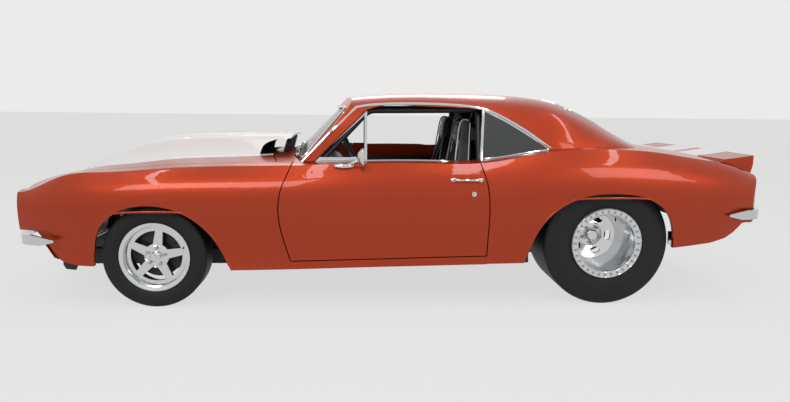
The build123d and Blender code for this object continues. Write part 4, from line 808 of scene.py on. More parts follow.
# ---------------------------------------------------------------- panels
@dataclass
class Panels:
    """Gives every CAD node its finish."""

    finishes: dict[str, str] = field(
        default_factory=lambda: {
            "windscreen_frame": "panel",
            "roof": "panel",
            "rear_deck": "panel",
            "fender_left": "panel",
            "fender_right": "panel",
            "quarter_left": "panel",
            "quarter_right": "panel",
            "rockers": "panel",
            "cowl": "panel",
            "nose_panel": "rim",
            "tail_panel": "panel",
            "front_valance": "panel",
            "hood": "striped_hood",
            "trunk_lid": "striped_tail",
            "spoiler": "striped_tail",
            "door_left": "door",
            "door_right": "door",
            "front_bumper": "chrome",
            "rear_bumper": "chrome",
            "vent_frame_left": "chrome",
            "vent_frame_right": "chrome",
            "mirror_left": "chrome",
            "grille": "satin_black",
            "headlamps": "clear_lens",
            "tail_lamps": "red_lens",
            "windscreen": "windscreen_glass",
            "rear_window": "windscreen_glass",
            "quarter_windows": "smoked_glass",
            "dashboard": "satin_black",
            "steering_wheel": "satin_black",
            "roll_cage": "satin_black",
            "seats": "vinyl_black",
            "floor": "chassis_black",
            "subframe": "chassis_black",
            "drivetrain": "cast_grey",
            "knuckle_left": "cast_grey",
            "knuckle_right": "cast_grey",
        }
    )

    def dress(self) -> None:
        """Puts the finishes on the nodes' material slots."""
        for name, finish in self.finishes.items():
            self._cover(FRAME["nodes"][name], PALETTE[finish])
        for side in ("left", "right"):
            for end, tyre, rim in (("front", 0.292, 0.15), ("rear", 0.375, 0.14)):
                low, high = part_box(f"{end}_tyre_{side}")
                axle = ((low.x + high.x) / 2, (low.z + high.z) / 2)
                pitch = 0.034 if end == "front" else 0.0
                rubber = TyreRubber(f"{end}_tyre_rubber_{side}", axle=axle, shoulder=tyre, rib_pitch=pitch)
                self._cover(FRAME["nodes"][f"{end}_tyre_{side}"], rubber.material())
                back = 0.782 if end == "front" else 0.55
                metal = WheelMetal(f"{end}_wheel_metal_{side}", axle, back, rim)
                self._cover(FRAME["nodes"][f"{end}_wheel_{side}"], metal.material())

    @staticmethod
    def _cover(node: bpy.types.Object, material: bpy.types.Material) -> None:
        """Gives one node one material."""
        for slot in node.material_slots:
            slot.link = "OBJECT"
            slot.material = material


# ---------------------------------------------------------------- outside trim
BODYWORK = ("windscreen_frame", "roof", "quarter_left", "quarter_right", "fender_left", "fender_right")


@dataclass
class Brightwork:
    """Chrome mouldings round the glass, drip rails and belt lines."""

    screen_low: float = 0.886
    screen_high: float = 1.203
    screen_half_low: float = 0.700
    screen_half_high: float = 0.600
    light_front: float = 1.096
    light_rear: float = 1.722
    light_half_front: float = 0.470
    bead: float = 0.0075
    pillar: tuple[tuple[float, float], ...] = (
        (-0.556, 0.872), (-0.44, 0.985), (-0.33, 1.095), (-0.215, 1.205)
)
    gutter: tuple[tuple[float, float], ...] = (
        (-0.215, 1.205), (-0.140, 1.219), (0.000, 1.228), (0.138, 1.230), (0.280, 1.229), (0.414, 1.223),
        (0.500, 1.215), (0.594, 1.198), (0.700, 1.150), (0.838, 1.069), (0.930, 1.003), (0.978, 0.969),
    )
    quarter: tuple[tuple[float, float], ...] = (
        (0.548, 0.900), (0.556, 1.170), (0.562, 1.188), (0.586, 1.188), (0.689, 1.140), (0.829, 1.057),
        (0.972, 0.962),
    )
    sill: tuple[tuple[float, float], ...] = (
        (0.955, 0.9570), (0.900, 0.9480), (0.800, 0.9310), (0.700, 0.9130), (0.620, 0.9010),
        (0.562, 0.8965),
    )

    def _screen(self, y: float, z: float) -> Point:
        """Point on the windscreen's surround."""
        share = (z - 0.862) / 0.373
        bow = 0.160 - 0.066 * share
        edge = 0.795 - 0.095 * share
        return (-0.6905 + 0.373 * share + bow * (y / edge) ** 2 - 0.003, y, z + 0.003)

    def windscreen(self) -> None:
        """Moulding and seal round the windscreen."""
        run: list[Point] = []
        for y in (-0.68, -0.5, -0.25, 0.0, 0.25, 0.5, 0.68):
            run.append(self._screen(y, self.screen_low))
        run.append(self._screen(self.screen_half_low, self.screen_low + 0.012))
        for share in (0.25, 0.5, 0.75, 0.96):
            half = self.screen_half_low + (self.screen_half_high - self.screen_half_low) * share
            run.append(self._screen(half, self.screen_low + (self.screen_high - self.screen_low) * share))
        for y in (0.58, 0.4, 0.2, 0.0, -0.2, -0.4, -0.58):
            run.append(self._screen(y, self.screen_high))
        for share in (0.96, 0.75, 0.5, 0.25):
            half = self.screen_half_low + (self.screen_half_high - self.screen_half_low) * share
            run.append(self._screen(-half, self.screen_low + (self.screen_high - self.screen_low) * share))
        run.append(self._screen(-self.screen_half_low, self.screen_low + 0.012))
        Shape().tube(run, self.bead, closed=True).finish(
            "windscreen_moulding", "chrome"
        )

    def backlight(self) -> None:
        """Moulding round the rear window."""
        skin = Skin(("roof", "rear_deck", "quarter_left", "quarter_right"))
        run: list[Point] = []
        for y in (-0.45, -0.3, -0.15, 0.0, 0.15, 0.3, 0.45):
            run.append(skin.top(self.light_front + 0.036 * (y / 0.452) ** 2, y, 0.001))
        for share in (0.12, 0.3, 0.5, 0.7, 0.84):
            x = 1.140 + share * 0.49
            run.append(skin.top(x, self.light_half_front + 0.012 * share, 0.001))
        for y in (0.45, 0.3, 0.15, 0.0, -0.15, -0.3, -0.45):
            run.append(skin.top(self.light_rear - 0.090 * (abs(y) / 0.46) ** 2, y, 0.001))
        for share in (0.84, 0.7, 0.5, 0.3, 0.12):
            x = 1.140 + share * 0.49
            run.append(skin.top(x, -self.light_half_front - 0.012 * share, 0.001))
        Shape().tube(run, self.bead, closed=True).finish("rear_window_moulding", "chrome")

    def side_mouldings(self) -> None:
        """Pillar trims, drip rails and quarter-window frames on both sides."""
        skin = Skin(BODYWORK)
        pane = Skin(("quarter_windows",))
        for side in Side:
            name = side.name.lower()
            rail = [skin.flank(x, z, side, 0.003) for x, z in self.pillar + self.gutter]
            trim = Shape().tube(rail, 0.0085)
            trim.finish(f"drip_rail_{name}", "chrome")
            frame = [skin.flank(x, z, side, -0.004) for x, z in self.quarter]
            frame += [pane.flank(x, z, side, 0.003) for x, z in self.sill]
            surround = Shape().tube(frame, 0.0065, closed=True)
            surround.finish(f"quarter_window_frame_{name}", "chrome")
            bar = [skin.flank(0.5475, 0.890, side, -0.002), skin.flank(0.5585, 1.186, side, -0.002)]
            upright = Shape().tube(bar, 0.010, smooth=False)
            upright.finish(f"quarter_bar_{name}", "chrome")

    def belts(self) -> None:
        """Bright strip and rubber wiper along the top of each door."""
        for side in Side:
            name = side.name.lower()
            skin = Skin((f"door_{name}",))
            strip = [skin.top(x, side.value * 0.762, 0.001) for x in (-0.45, -0.2, 0.0, 0.2, 0.4, 0.535)]
            Shape().tube(strip, 0.0062).finish(
                f"door_belt_strip_{name}", "chrome", f"door_{name}"
            )
            seal = [skin.top(x, side.value * 0.746, 0.0) for x in (-0.45, -0.2, 0.0, 0.2, 0.4, 0.535)]
            Shape().tube(seal, 0.005).finish(
                f"door_belt_seal_{name}", "rubber_seal", f"door_{name}"
            )

    def build(self) -> None:
        """Makes every moulding."""
        self.windscreen()
        self.backlight()
        self.side_mouldings()
        self.belts()
        log.info("mouldings")


@dataclass
class DoorFittings:
    """Outside handles and locks, and the inside trim of each door."""

    handle_front: float = 0.362
    handle_rear: float = 0.524
    handle_z: float = 0.787
    lock: tuple[float, float] = (0.486, 0.703)

    def outside(self, side: Side) -> None:
        """Pull handle with its push button, and the key lock."""
        name = side.name.lower()
        body = f"door_{name}"
        skin = Skin((body,))
        out = (0, side.value, 0)
        grip = Shape()
        foot = [skin.flank(x, self.handle_z, side, -0.002) for x in (self.handle_front, self.handle_rear)]
        for spot in foot:
            grip.ball((spot[0], spot[1] + side.value * 0.004, spot[2]), (0.020, 0.008, 0.012), 8)
        path = [foot[0]]
        for share, lift in ((0.05, 0.02), (0.2, 0.031), (0.5, 0.033), (0.8, 0.031)):
            x = self.handle_front + (self.handle_rear - self.handle_front) * share
            path.append(skin.flank(x, self.handle_z + 0.002, side, lift))
        path.append(skin.flank(self.handle_rear - 0.012, self.handle_z, side, 0.022))
        grip.tube(path, 0.0065)
        button = skin.flank(self.handle_rear, self.handle_z, side, 0.004)
        grip.knob(button, out, 0.0125, 0.022)
        grip.finish(f"door_handle_{name}", "chrome", body)
        spot = skin.flank(*self.lock, side, -0.001)
        keyhole = Shape().ring(spot, out, 0.0145, 0.006, 0.006).knob(spot, out, 0.0095, 0.004)
        keyhole.finish(f"door_lock_{name}", "chrome", body)

    def inside(self, side: Side) -> None:
        """Thin trim panel with a window crank and a lever."""
        name = side.name.lower()
        body = f"door_{name}"
        y = side.value * 0.7305
        step = -side.value
        panel = Shape().plate(
            [(-0.40, y, 0.40), (0.46, y, 0.40), (0.50, y, 0.46), (0.50, y, 0.80), (-0.40, y, 0.80)],
            (0, step * 0.004, 0),
            0.0015,
        )
        panel.finish(f"door_card_{name}", "vinyl_black", body)
        crank = Shape().knob((0.06, y, 0.55), (0, step, 0), 0.018, 0.012)
        crank.tube(
            [(0.06, y + step * 0.010, 0.55), (0.03, y + step * 0.013, 0.60), (0.0, y + step * 0.013, 0.655)],
            0.006,
)
        crank.knob((0.0, y + step * 0.010, 0.655), (0, step, 0), 0.010, 0.016)
        crank.knob((-0.22, y, 0.68), (0, step, 0), 0.014, 0.010)
        crank.tube(
            [
                (-0.22, y + step * 0.010, 0.68), (-0.16, y + step * 0.012, 0.682),
                (-0.11, y + step * 0.012, 0.684),
],
            0.0055,
)
        crank.finish(f"door_crank_{name}", "chrome", body)

    def build(self) -> None:
        """Makes the fittings of both doors."""
        for side in Side:
            self.outside(side)
            self.inside(side)
        log.info("door fittings")


@dataclass
class Sheetmetal:
    """Rolled arch lips, painted shade in the scoop's throat, wipers and small brackets."""

    front_axle: tuple[float, float] = (-1.4135, 0.308)
    rear_axle: tuple[float, float] = (1.3295, 0.391)

    def arches(self) -> None:
        """Rolled lip round each wheel opening."""
        for side in Side:
            name = side.name.lower()
            for node, axle, low, high in (
                (f"fender_{name}", self.front_axle, 0.25, 0.62),
                (f"quarter_{name}", self.rear_axle, 0.26, 0.66),
            ):
                skin = Skin((node,))
                edge = [skin.mouth(axle, math.radians(a), side, low, high) for a in range(-126, 127, 6)]
                spots = [spot for spot in edge if spot is not None]
                lip = Shape().tube([(x, y - side.value * 0.005, z) for x, y, z in spots], 0.0075)
                lip.finish(f"{node}_arch_lip", "rim", smooth=60.0)

    def scoop(self) -> None:
        """Black plate of painted shade that closes the scoop's rear mouth, crossed by four thin bars."""
        # The plate is painted shade: it stands in for the dark inside the scoop.
        low = [(-0.700, y, 0.892) for y in (-0.325, 0.325)]
        high = [(-0.672, y, 0.985) for y in (0.30, -0.30)]
        dark = Shape().plate(low + high, (-0.012, 0, 0), 0.002)
        for share in (0.2, 0.4, 0.6, 0.8):
            z = 0.892 + 0.093 * share
            x = -0.700 + 0.028 * share + 0.004
            dark.tube([(x, -0.31, z), (x, 0.0, z), (x, 0.31, z)], 0.002, smooth=False, round_by=1)
        dark.finish("scoop_mesh", "void_black", "hood")

    def wipers(self) -> None:
        """Two chrome wiper arms parked along the foot of the windscreen."""
        for index, (start, stop) in enumerate(((-0.50, -0.06), (0.06, 0.50))):
            arm = Shape()
            foot = self._foot(start, 0.894, 0.012)
            arm.knob((foot[0], foot[1], foot[2] - 0.03), (-0.3, 0, 1), 0.014, 0.036)
            middle = self._foot(start + 0.16, 0.912, 0.024)
            tip = self._foot(start + 0.30, 0.924, 0.018)
            arm.tube([(foot[0], foot[1], foot[2] + 0.006), middle, tip], 0.0045)
            arm.finish(f"wiper_arm_{index + 1}", "chrome")
            blade = Shape()
            run = [
                self._foot(start + (stop - start) * share, 0.914 + 0.026 * share, 0.010)
                for share in (0.2, 0.5, 0.8, 1.0)
]
            blade.tube(run, 0.0045)
            blade.finish(f"wiper_blade_{index + 1}", "rubber_seal")

    @staticmethod
    def _foot(y: float, z: float, lift: float) -> Point:
        """Point in front of the windscreen's glass."""
        share = (z - 0.862) / 0.373
        bow = 0.160 - 0.066 * share
        edge = 0.795 - 0.095 * share
        return (-0.6905 + 0.373 * share + bow * (y / edge) ** 2 - 0.7 * lift + 0.02, y, z + 0.7 * lift)

    def brackets(self) -> None:
        """Tow bracket under the nose and the bright tail bracket behind each rear tyre."""
        for side in Side:
            name = side.name.lower()
            y = side.value * 0.640
            hook = Shape().plate(
                [
                    (-2.035, y, 0.300), (-2.040, y, 0.215), (-2.025, y, 0.185), (-1.965, y, 0.178),
                    (-1.955, y, 0.200), (-1.985, y, 0.300),
],
                (0, side.value * 0.014, 0),
                0.003,
            )
            hook.finish(f"tow_bracket_{name}", "chassis_black")
            y = side.value * 0.770
            stay = Shape().plate(
                [
                    (1.752, y, 0.452), (1.756, y, 0.372), (1.770, y, 0.358), (1.800, y, 0.356),
                    (1.806, y, 0.372), (1.790, y, 0.452),
],
                (0, side.value * 0.010, 0),
                0.002,
            )
            stay.finish(f"tail_bracket_{name}", "polished")

    def build(self) -> None:
        """Makes the sheet metal's details."""
        self.arches()
        self.scoop()
        self.wipers()
        self.brackets()
        log.info("arch lips, scoop, wipers and brackets")


@dataclass
class Nose:
    """Grille bars, headlamp rings and parking lamps."""

    low: float = 0.484
    high: float = 0.648
    lamp_y: float = 0.590
    lamp_z: float = 0.566
    lamp_x: float = -2.196

    @staticmethod
    def _front(y: float) -> float:
        """X of the grille's face."""
        return -2.288 + 0.176 * (y / 0.830) ** 2

    def grille(self) -> None:
        """Bright surround and an egg-crate of thin bars."""
        run: list[Point] = []
        for y in (-0.72, -0.5, -0.25, 0.0, 0.25, 0.5, 0.72):
            run.append((self._front(y) - 0.006, y, self.low))
        run.append((self._front(0.735) - 0.006, 0.735, self.low + 0.02))
        run.append((self._front(0.735) - 0.006, 0.735, self.high - 0.02))
        for y in (0.72, 0.5, 0.25, 0.0, -0.25, -0.5, -0.72):
            run.append((self._front(y) - 0.006, y, self.high))
        run.append((self._front(0.735) - 0.006, -0.735, self.high - 0.02))
        run.append((self._front(0.735) - 0.006, -0.735, self.low + 0.02))
        Shape().tube(run, 0.007, closed=True).finish("grille_surround", "chrome")
        crate = Shape()
        for step in range(1, 7):
            z = self.low + (self.high - self.low) * step / 7
            crate.tube(
                [(self._front(y) - 0.004, y, z) for y in (-0.49, -0.25, 0.0, 0.25, 0.49)], 0.0028, round_by=1
)
        for step in range(-16, 17):
            y = step * 0.0295
            x = self._front(y) - 0.004
            crate.tube(
                [(x, y, self.low + 0.004), (x, y, self.high - 0.004)], 0.0024, smooth=False, round_by=1
)
        crate.finish("grille_bars", "zinc", slot="black_trim")

    def lamps(self) -> None:
        """Headlamp rings and parking lamps."""
        valance = Skin(("front_valance", "nose_panel"))
        for side in Side:
            name = side.name.lower()
            y = side.value * self.lamp_y
            ring = Shape().ring((self.lamp_x + 0.012, y, self.lamp_z), (-1, 0, 0), 0.090, 0.011, 0.016, 40)
            ring.finish(f"headlamp_ring_{name}", "chrome")
            spot = valance.end(side.value * 0.36, 0.352, False, -0.004)
            amber = Shape().box(
                (spot[0] - 0.012, spot[1] - 0.058, 0.330), (spot[0] + 0.020, spot[1] + 0.058, 0.374), 0.006
)
            amber.finish(f"parking_lamp_{name}", "amber_lens")
            edge = [
                (spot[0] - 0.010, spot[1] + a, b)
                for a, b in ((-0.062, 0.327), (0.062, 0.327), (0.062, 0.377), (-0.062, 0.377))
]
            bezel = Shape().tube(edge, 0.0042, closed=True, smooth=False)
            bezel.finish(f"parking_bezel_{name}", "chrome")

    def build(self) -> None:
        """Makes the nose's details."""
        self.grille()
        self.lamps()
        log.info("nose")


@dataclass
class Tail:
    """Tail-lamp bezels, reversing lenses, lid lock and filler cap."""

    lamps: tuple[tuple[float, float], ...] = ((0.360, 0.492), (0.500, 0.632))
    low: float = 0.640
    high: float = 0.735

    def build(self) -> None:
        """Makes the tail's details."""
        skin = Skin(("tail_panel", "tail_lamps", "trunk_lid"))
        for side in Side:
            bezel = Shape()
            for inner, outer in self.lamps:
                face = skin.end(side.value * (inner + outer) / 2, 0.69, True)[0] + 0.001
                corners = ((inner, self.low), (outer, self.low), (outer, self.high), (inner, self.high))
                edge = [(face, side.value * y, z) for y, z in corners]
                bezel.tube(edge, 0.0055, closed=True, smooth=False)
            bezel.finish(f"tail_lamp_bezel_{side.name.lower()}", "chrome")
            spot = skin.end(side.value * 0.426, 0.687, True, 0.0)
            backup = Shape().box(
                (spot[0] - 0.004, spot[1] - 0.024, 0.660), (spot[0] + 0.005, spot[1] + 0.024, 0.715), 0.003
)
            backup.finish(f"reversing_lens_{side.name.lower()}", "clear_lens")
        spot = skin.end(0.0, 0.690, True, -0.003)
        cap = Shape().ring(spot, (1, 0, 0), 0.048, 0.010, 0.014, 40).knob(spot, (1, 0, 0), 0.036, 0.011, 32)
        cap.finish("filler_cap", "chrome")
        spot = skin.end(0.0, 0.835, True, -0.002)
        lock = Shape().ring(spot, (1, 0, 0), 0.016, 0.005, 0.007).knob(spot, (1, 0, 0), 0.011, 0.005)
        lock.finish("lid_lock", "chrome", "trunk_lid")
        log.info("tail")


# ---------------------------------------------------------------- wheels
@dataclass
class FrontWheel:
    """Lug nuts, spindle cap, valve and brake caliper of a front wheel."""

    side: Side
    axle: tuple[float, float] = (-1.4135, 0.308)
    face: float = 0.8143
    lug_circle: float = 0.052
    first: float = 8.0

    def build(self) -> None:
        """Makes the wheel's details."""
        name = self.side.name.lower()
        way = self.side.value
        x, z = self.axle
        body = f"front_wheel_{name}"
        nuts = Shape()
        for step in range(5):
            turn = math.radians(self.first + 72 * step)
            spot = (x + self.lug_circle * math.sin(turn), z + self.lug_circle * math.cos(turn))
            nuts.rod(
                (spot[0], way * (self.face - 0.002), spot[1]),
                (spot[0], way * (self.face + 0.003), spot[1]),
                0.0135,
                20,
)
            nuts.rod(
                (spot[0], way * self.face, spot[1]), (spot[0], way * (self.face + 0.018), spot[1]), 0.0105, 6
)
            nuts.ball((spot[0], way * (self.face + 0.018), spot[1]), (0.008, 0.005, 0.008), 6)
        nuts.finish(f"front_lug_nuts_{name}", "zinc", body, slot="chrome")
        cap = Shape().knob((x, way * 0.834, z), (0, way, 0), 0.030, 0.014, 32)
        cap.rod((x, way * 0.846, z), (x, way * 0.857, z), 0.015, 6)
        cap.finish(f"front_spindle_cap_{name}", "chrome", body)
        valve = Shape().rod(
            (x + 0.166, way * 0.800, z + 0.05), (x + 0.160, way * 0.822, z + 0.048), 0.0045, 10
)
        valve.finish(f"front_valve_{name}", "rubber_seal", body)
        clamp = Shape()
        block = [
            (x + 0.080, z + 0.055), (x + 0.128, z + 0.070), (x + 0.135, z + 0.000), (x + 0.122, z - 0.062),
            (x + 0.076, z - 0.050),
]
        clamp.plate([(a, way * 0.738, b) for a, b in block], (0, way * 0.030, 0), 0.005)
        clamp.finish(f"front_caliper_{name}", "chassis_black", f"knuckle_{name}", slot="cast")


@dataclass
class RearWheel:
    """Bead-lock ring bolts, dish rivets, lug nuts and valve of a rear wheel."""

    side: Side
    axle: tuple[float, float] = (1.3295, 0.391)
    ring_face: float = 0.861
    bolts: int = 32
    disc_face: float = 0.576

    def _around(self, radius: float, count: int, first: float = 0.0) -> list[tuple[float, float]]:
        """X and Z of points spread round the axle."""
        turns = [math.radians(first + 360 * step / count) for step in range(count)]
        return [(self.axle[0] + radius * math.sin(t), self.axle[1] + radius * math.cos(t)) for t in turns]

    def build(self) -> None:
        """Makes the wheel's details."""
        name = self.side.name.lower()
        way = self.side.value
        body = f"rear_wheel_{name}"
        bolts = Shape()
        for x, z in self._around(0.1985, self.bolts):
            bolts.rod(
                (x, way * (self.ring_face - 0.001), z), (x, way * (self.ring_face + 0.0025), z), 0.0085, 12
)
            bolts.rod((x, way * self.ring_face, z), (x, way * (self.ring_face + 0.0095), z), 0.0062, 6)
        bolts.finish(f"bead_lock_bolts_{name}", "zinc", body, slot="chrome")
        lip = Shape().ring(
            (self.axle[0], way * (self.ring_face - 0.002), self.axle[1]), (0, way, 0),
            0.2175,
            0.006,
            0.006,
            64,
)
        lip.ring(
            (self.axle[0], way * (self.ring_face - 0.002), self.axle[1]), (0, way, 0),
            0.1855,
            0.006,
            0.006,
            64,
)
        lip.finish(f"bead_lock_ring_{name}", "polished", body)
        rivets = Shape()
        for x, z in self._around(0.160, 40, 4.5):
            rivets.ball((x, way * (self.disc_face + 0.001), z), (0.0062, 0.005, 0.0062), 5)
        for x, z in self._around(0.058, 5, 36.0):
            rivets.rod(
                (x, way * (self.disc_face - 0.002), z), (x, way * (self.disc_face + 0.024), z), 0.0115, 6
)
            rivets.ball((x, way * (self.disc_face + 0.024), z), (0.009, 0.006, 0.009), 6)
        rivets.finish(f"rear_wheel_fasteners_{name}", "zinc", body, slot="chrome")
        hub = Shape().ring(
            (self.axle[0], way * self.disc_face, self.axle[1]), (0, way, 0), 0.046, 0.007, 0.012, 32
)
        hub.finish(f"rear_hub_ring_{name}", "chrome", body)
        x, z = self._around(0.170, 1, 40.0)[0]
        valve = Shape().rod((x, way * 0.70, z), (x - 0.01, way * 0.73, z - 0.012), 0.0045, 10)
        valve.finish(f"rear_valve_{name}", "rubber_seal", body)


# ---------------------------------------------------------------- cabin
@dataclass
class Seats:
    """Two padded racing seats with pale piping and black harness belts."""

    seat_x: float = -0.0015
    seat_y: float = 0.374
    floor_z: float = 0.2684
    voxel: float = 0.0085
    pressure: float = 4.0
    cap: float = 0.007

    def pads(self) -> bpy.types.Object:
        """Padded shells that swell a little under pressure.

        Returns:
            The padded piece, which stands for the CAD seats.
        """
        shell = bmesh.new()
        shell.from_mesh(FRAME["nodes"]["seats"].data)
        bmesh.ops.remove_doubles(shell, verts=shell.verts, dist=1e-5)
        mesh = bpy.data.meshes.new("seat_pads")
        shell.to_mesh(mesh)
        shell.free()
        mesh.materials.clear()
        mesh.materials.append(PALETTE["seat_vinyl"])
        pads = bpy.data.objects.new("seat_pads", mesh)
        bpy.context.scene.collection.objects.link(pads)
        remesh = pads.modifiers.new("even", "REMESH")
        remesh.mode = "VOXEL"
        remesh.voxel_size = self.voxel
        self._settle(pads)
        self._swell(pads)
        self._soften(pads)
        for face in pads.data.polygons:
            face.use_smooth = True
        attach(pads, "body")
        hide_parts("seats")
        return pads

    @staticmethod
    def _settle(pads: bpy.types.Object) -> None:
        """Keeps the result of the modifiers in the mesh."""
        graph = bpy.context.evaluated_depsgraph_get()
        mesh = bpy.data.meshes.new_from_object(pads.evaluated_get(graph))
        pads.modifiers.clear()
        pads.data = mesh

    def _swell(self, pads: bpy.types.Object) -> None:
        """Blows the shells up with cloth pressure, each point moving no further than the cap."""
        rest = [vert.co.copy() for vert in pads.data.vertices]
        cloth = pads.modifiers.new("stuffing", "CLOTH")
        cloth.settings.quality = 4
        cloth.settings.use_pressure = True
        cloth.settings.uniform_pressure_force = self.pressure
        cloth.settings.effector_weights.gravity = 0.0
        for frame in range(1, 21):
            bpy.context.scene.frame_set(frame)
        graph = bpy.context.evaluated_depsgraph_get()
        swollen = [vert.co.copy() for vert in pads.evaluated_get(graph).data.vertices]
        pads.modifiers.clear()
        bpy.context.scene.frame_set(1)
        for vert, start, end in zip(pads.data.vertices, rest, swollen):
            move = end - start
            if move.length > self.cap:
                move = move.normalized() * self.cap
            vert.co = start if start.z < self.floor_z + 0.012 else start + move

    @staticmethod
    def _soften(pads: bpy.types.Object) -> None:
        """Rounds the shells' edges."""
        shell = bmesh.new()
        shell.from_mesh(pads.data)
        for _ in range(5):
            bmesh.ops.smooth_vert(
                shell, verts=shell.verts, factor=0.5, use_axis_x=True, use_axis_y=True, use_axis_z=True
)
        shell.to_mesh(pads.data)
        shell.free()

    def _on_seat(self, y: float, offsets: list[Point]) -> list[Point]:
        """Places given from a seat's front foot, on the seat at one Y."""
        return [(self.seat_x + a, y + b, self.floor_z + c) for a, b, c in offsets]

    def piping(self) -> None:
        """Pale welt along both bolsters of each seat and round its head."""
        cord = Shape()
        for side in Side:
            for edge in (-1, 1):
                y = side.value * self.seat_y
                outer, inner, head = 0.216 * edge, 0.150 * edge, 0.134 * edge
                run = [
                    (-0.034, outer, 0.160), (0.004, outer, 0.217), (0.180, outer, 0.195),
                    (0.325, outer, 0.205), (0.360, outer, 0.300), (0.397, outer, 0.450),
                    (0.409, outer, 0.520), (0.436, inner, 0.720), (0.450, head, 0.838),
                    (0.480, head * 0.96, 0.872), (0.512, head, 0.858),
                ]
                cord.tube(self._on_seat(y, run), 0.0048)
                side_seam = [
                    (0.519, head * 1.02, 0.845), (0.512, inner * 1.01, 0.720),
                    (0.500, outer * 1.01, 0.520), (0.488, outer * 1.01, 0.340),
                    (0.440, outer * 1.01, 0.080),
                ]
                cord.tube(self._on_seat(y, side_seam), 0.0040)
                inner_seam = [
                    (-0.020, inner, 0.190), (0.180, inner, 0.178), (0.335, inner, 0.190),
                    (0.388, inner, 0.330), (0.428, inner, 0.560), (0.450, inner * 0.92, 0.730),
                ]
                cord.tube(self._on_seat(y, inner_seam), 0.0036)
        cord.finish("seat_piping", "piping")

    def harness(self) -> None:
        """Shoulder and lap belts with bright buckles."""
        belt = Shape()
        metal = Shape()
        for side in Side:
            for edge in (-0.075, 0.075):
                y = side.value * self.seat_y + edge
                run = [
                    (self.seat_x + 0.458, self.floor_z + 0.700),
                    (self.seat_x + 0.440, self.floor_z + 0.560),
                    (self.seat_x + 0.400, self.floor_z + 0.360),
                    (self.seat_x + 0.345, self.floor_z + 0.200),
                    (self.seat_x + 0.240, self.floor_z + 0.160),
                ]
                belt.strap(run, y - 0.024, y + 0.024, 0.004)
                metal.box(
                    (self.seat_x + 0.384, y - 0.030, self.floor_z + 0.392),
                    (self.seat_x + 0.402, y + 0.030, self.floor_z + 0.436),
                    0.004,
)
            y = side.value * self.seat_y
            lap = [(self.seat_x + 0.330, self.floor_z + 0.172), (self.seat_x + 0.250, self.floor_z + 0.166)]
            belt.strap(lap, y - 0.146, y + 0.146, 0.004)
            metal.box(
                (self.seat_x + 0.218, y - 0.034, self.floor_z + 0.160),
                (self.seat_x + 0.262, y + 0.034, self.floor_z + 0.184),
                0.006,
)
        belt.finish("harness_belts", "webbing", slot="seat", smooth=50.0)
        metal.finish("harness_buckles", "chrome")

    def build(self) -> None:
        """Makes both seats."""
        self.pads()
        log.info("seat pads")
        self.piping()
        self.harness()
        log.info("piping and harness")


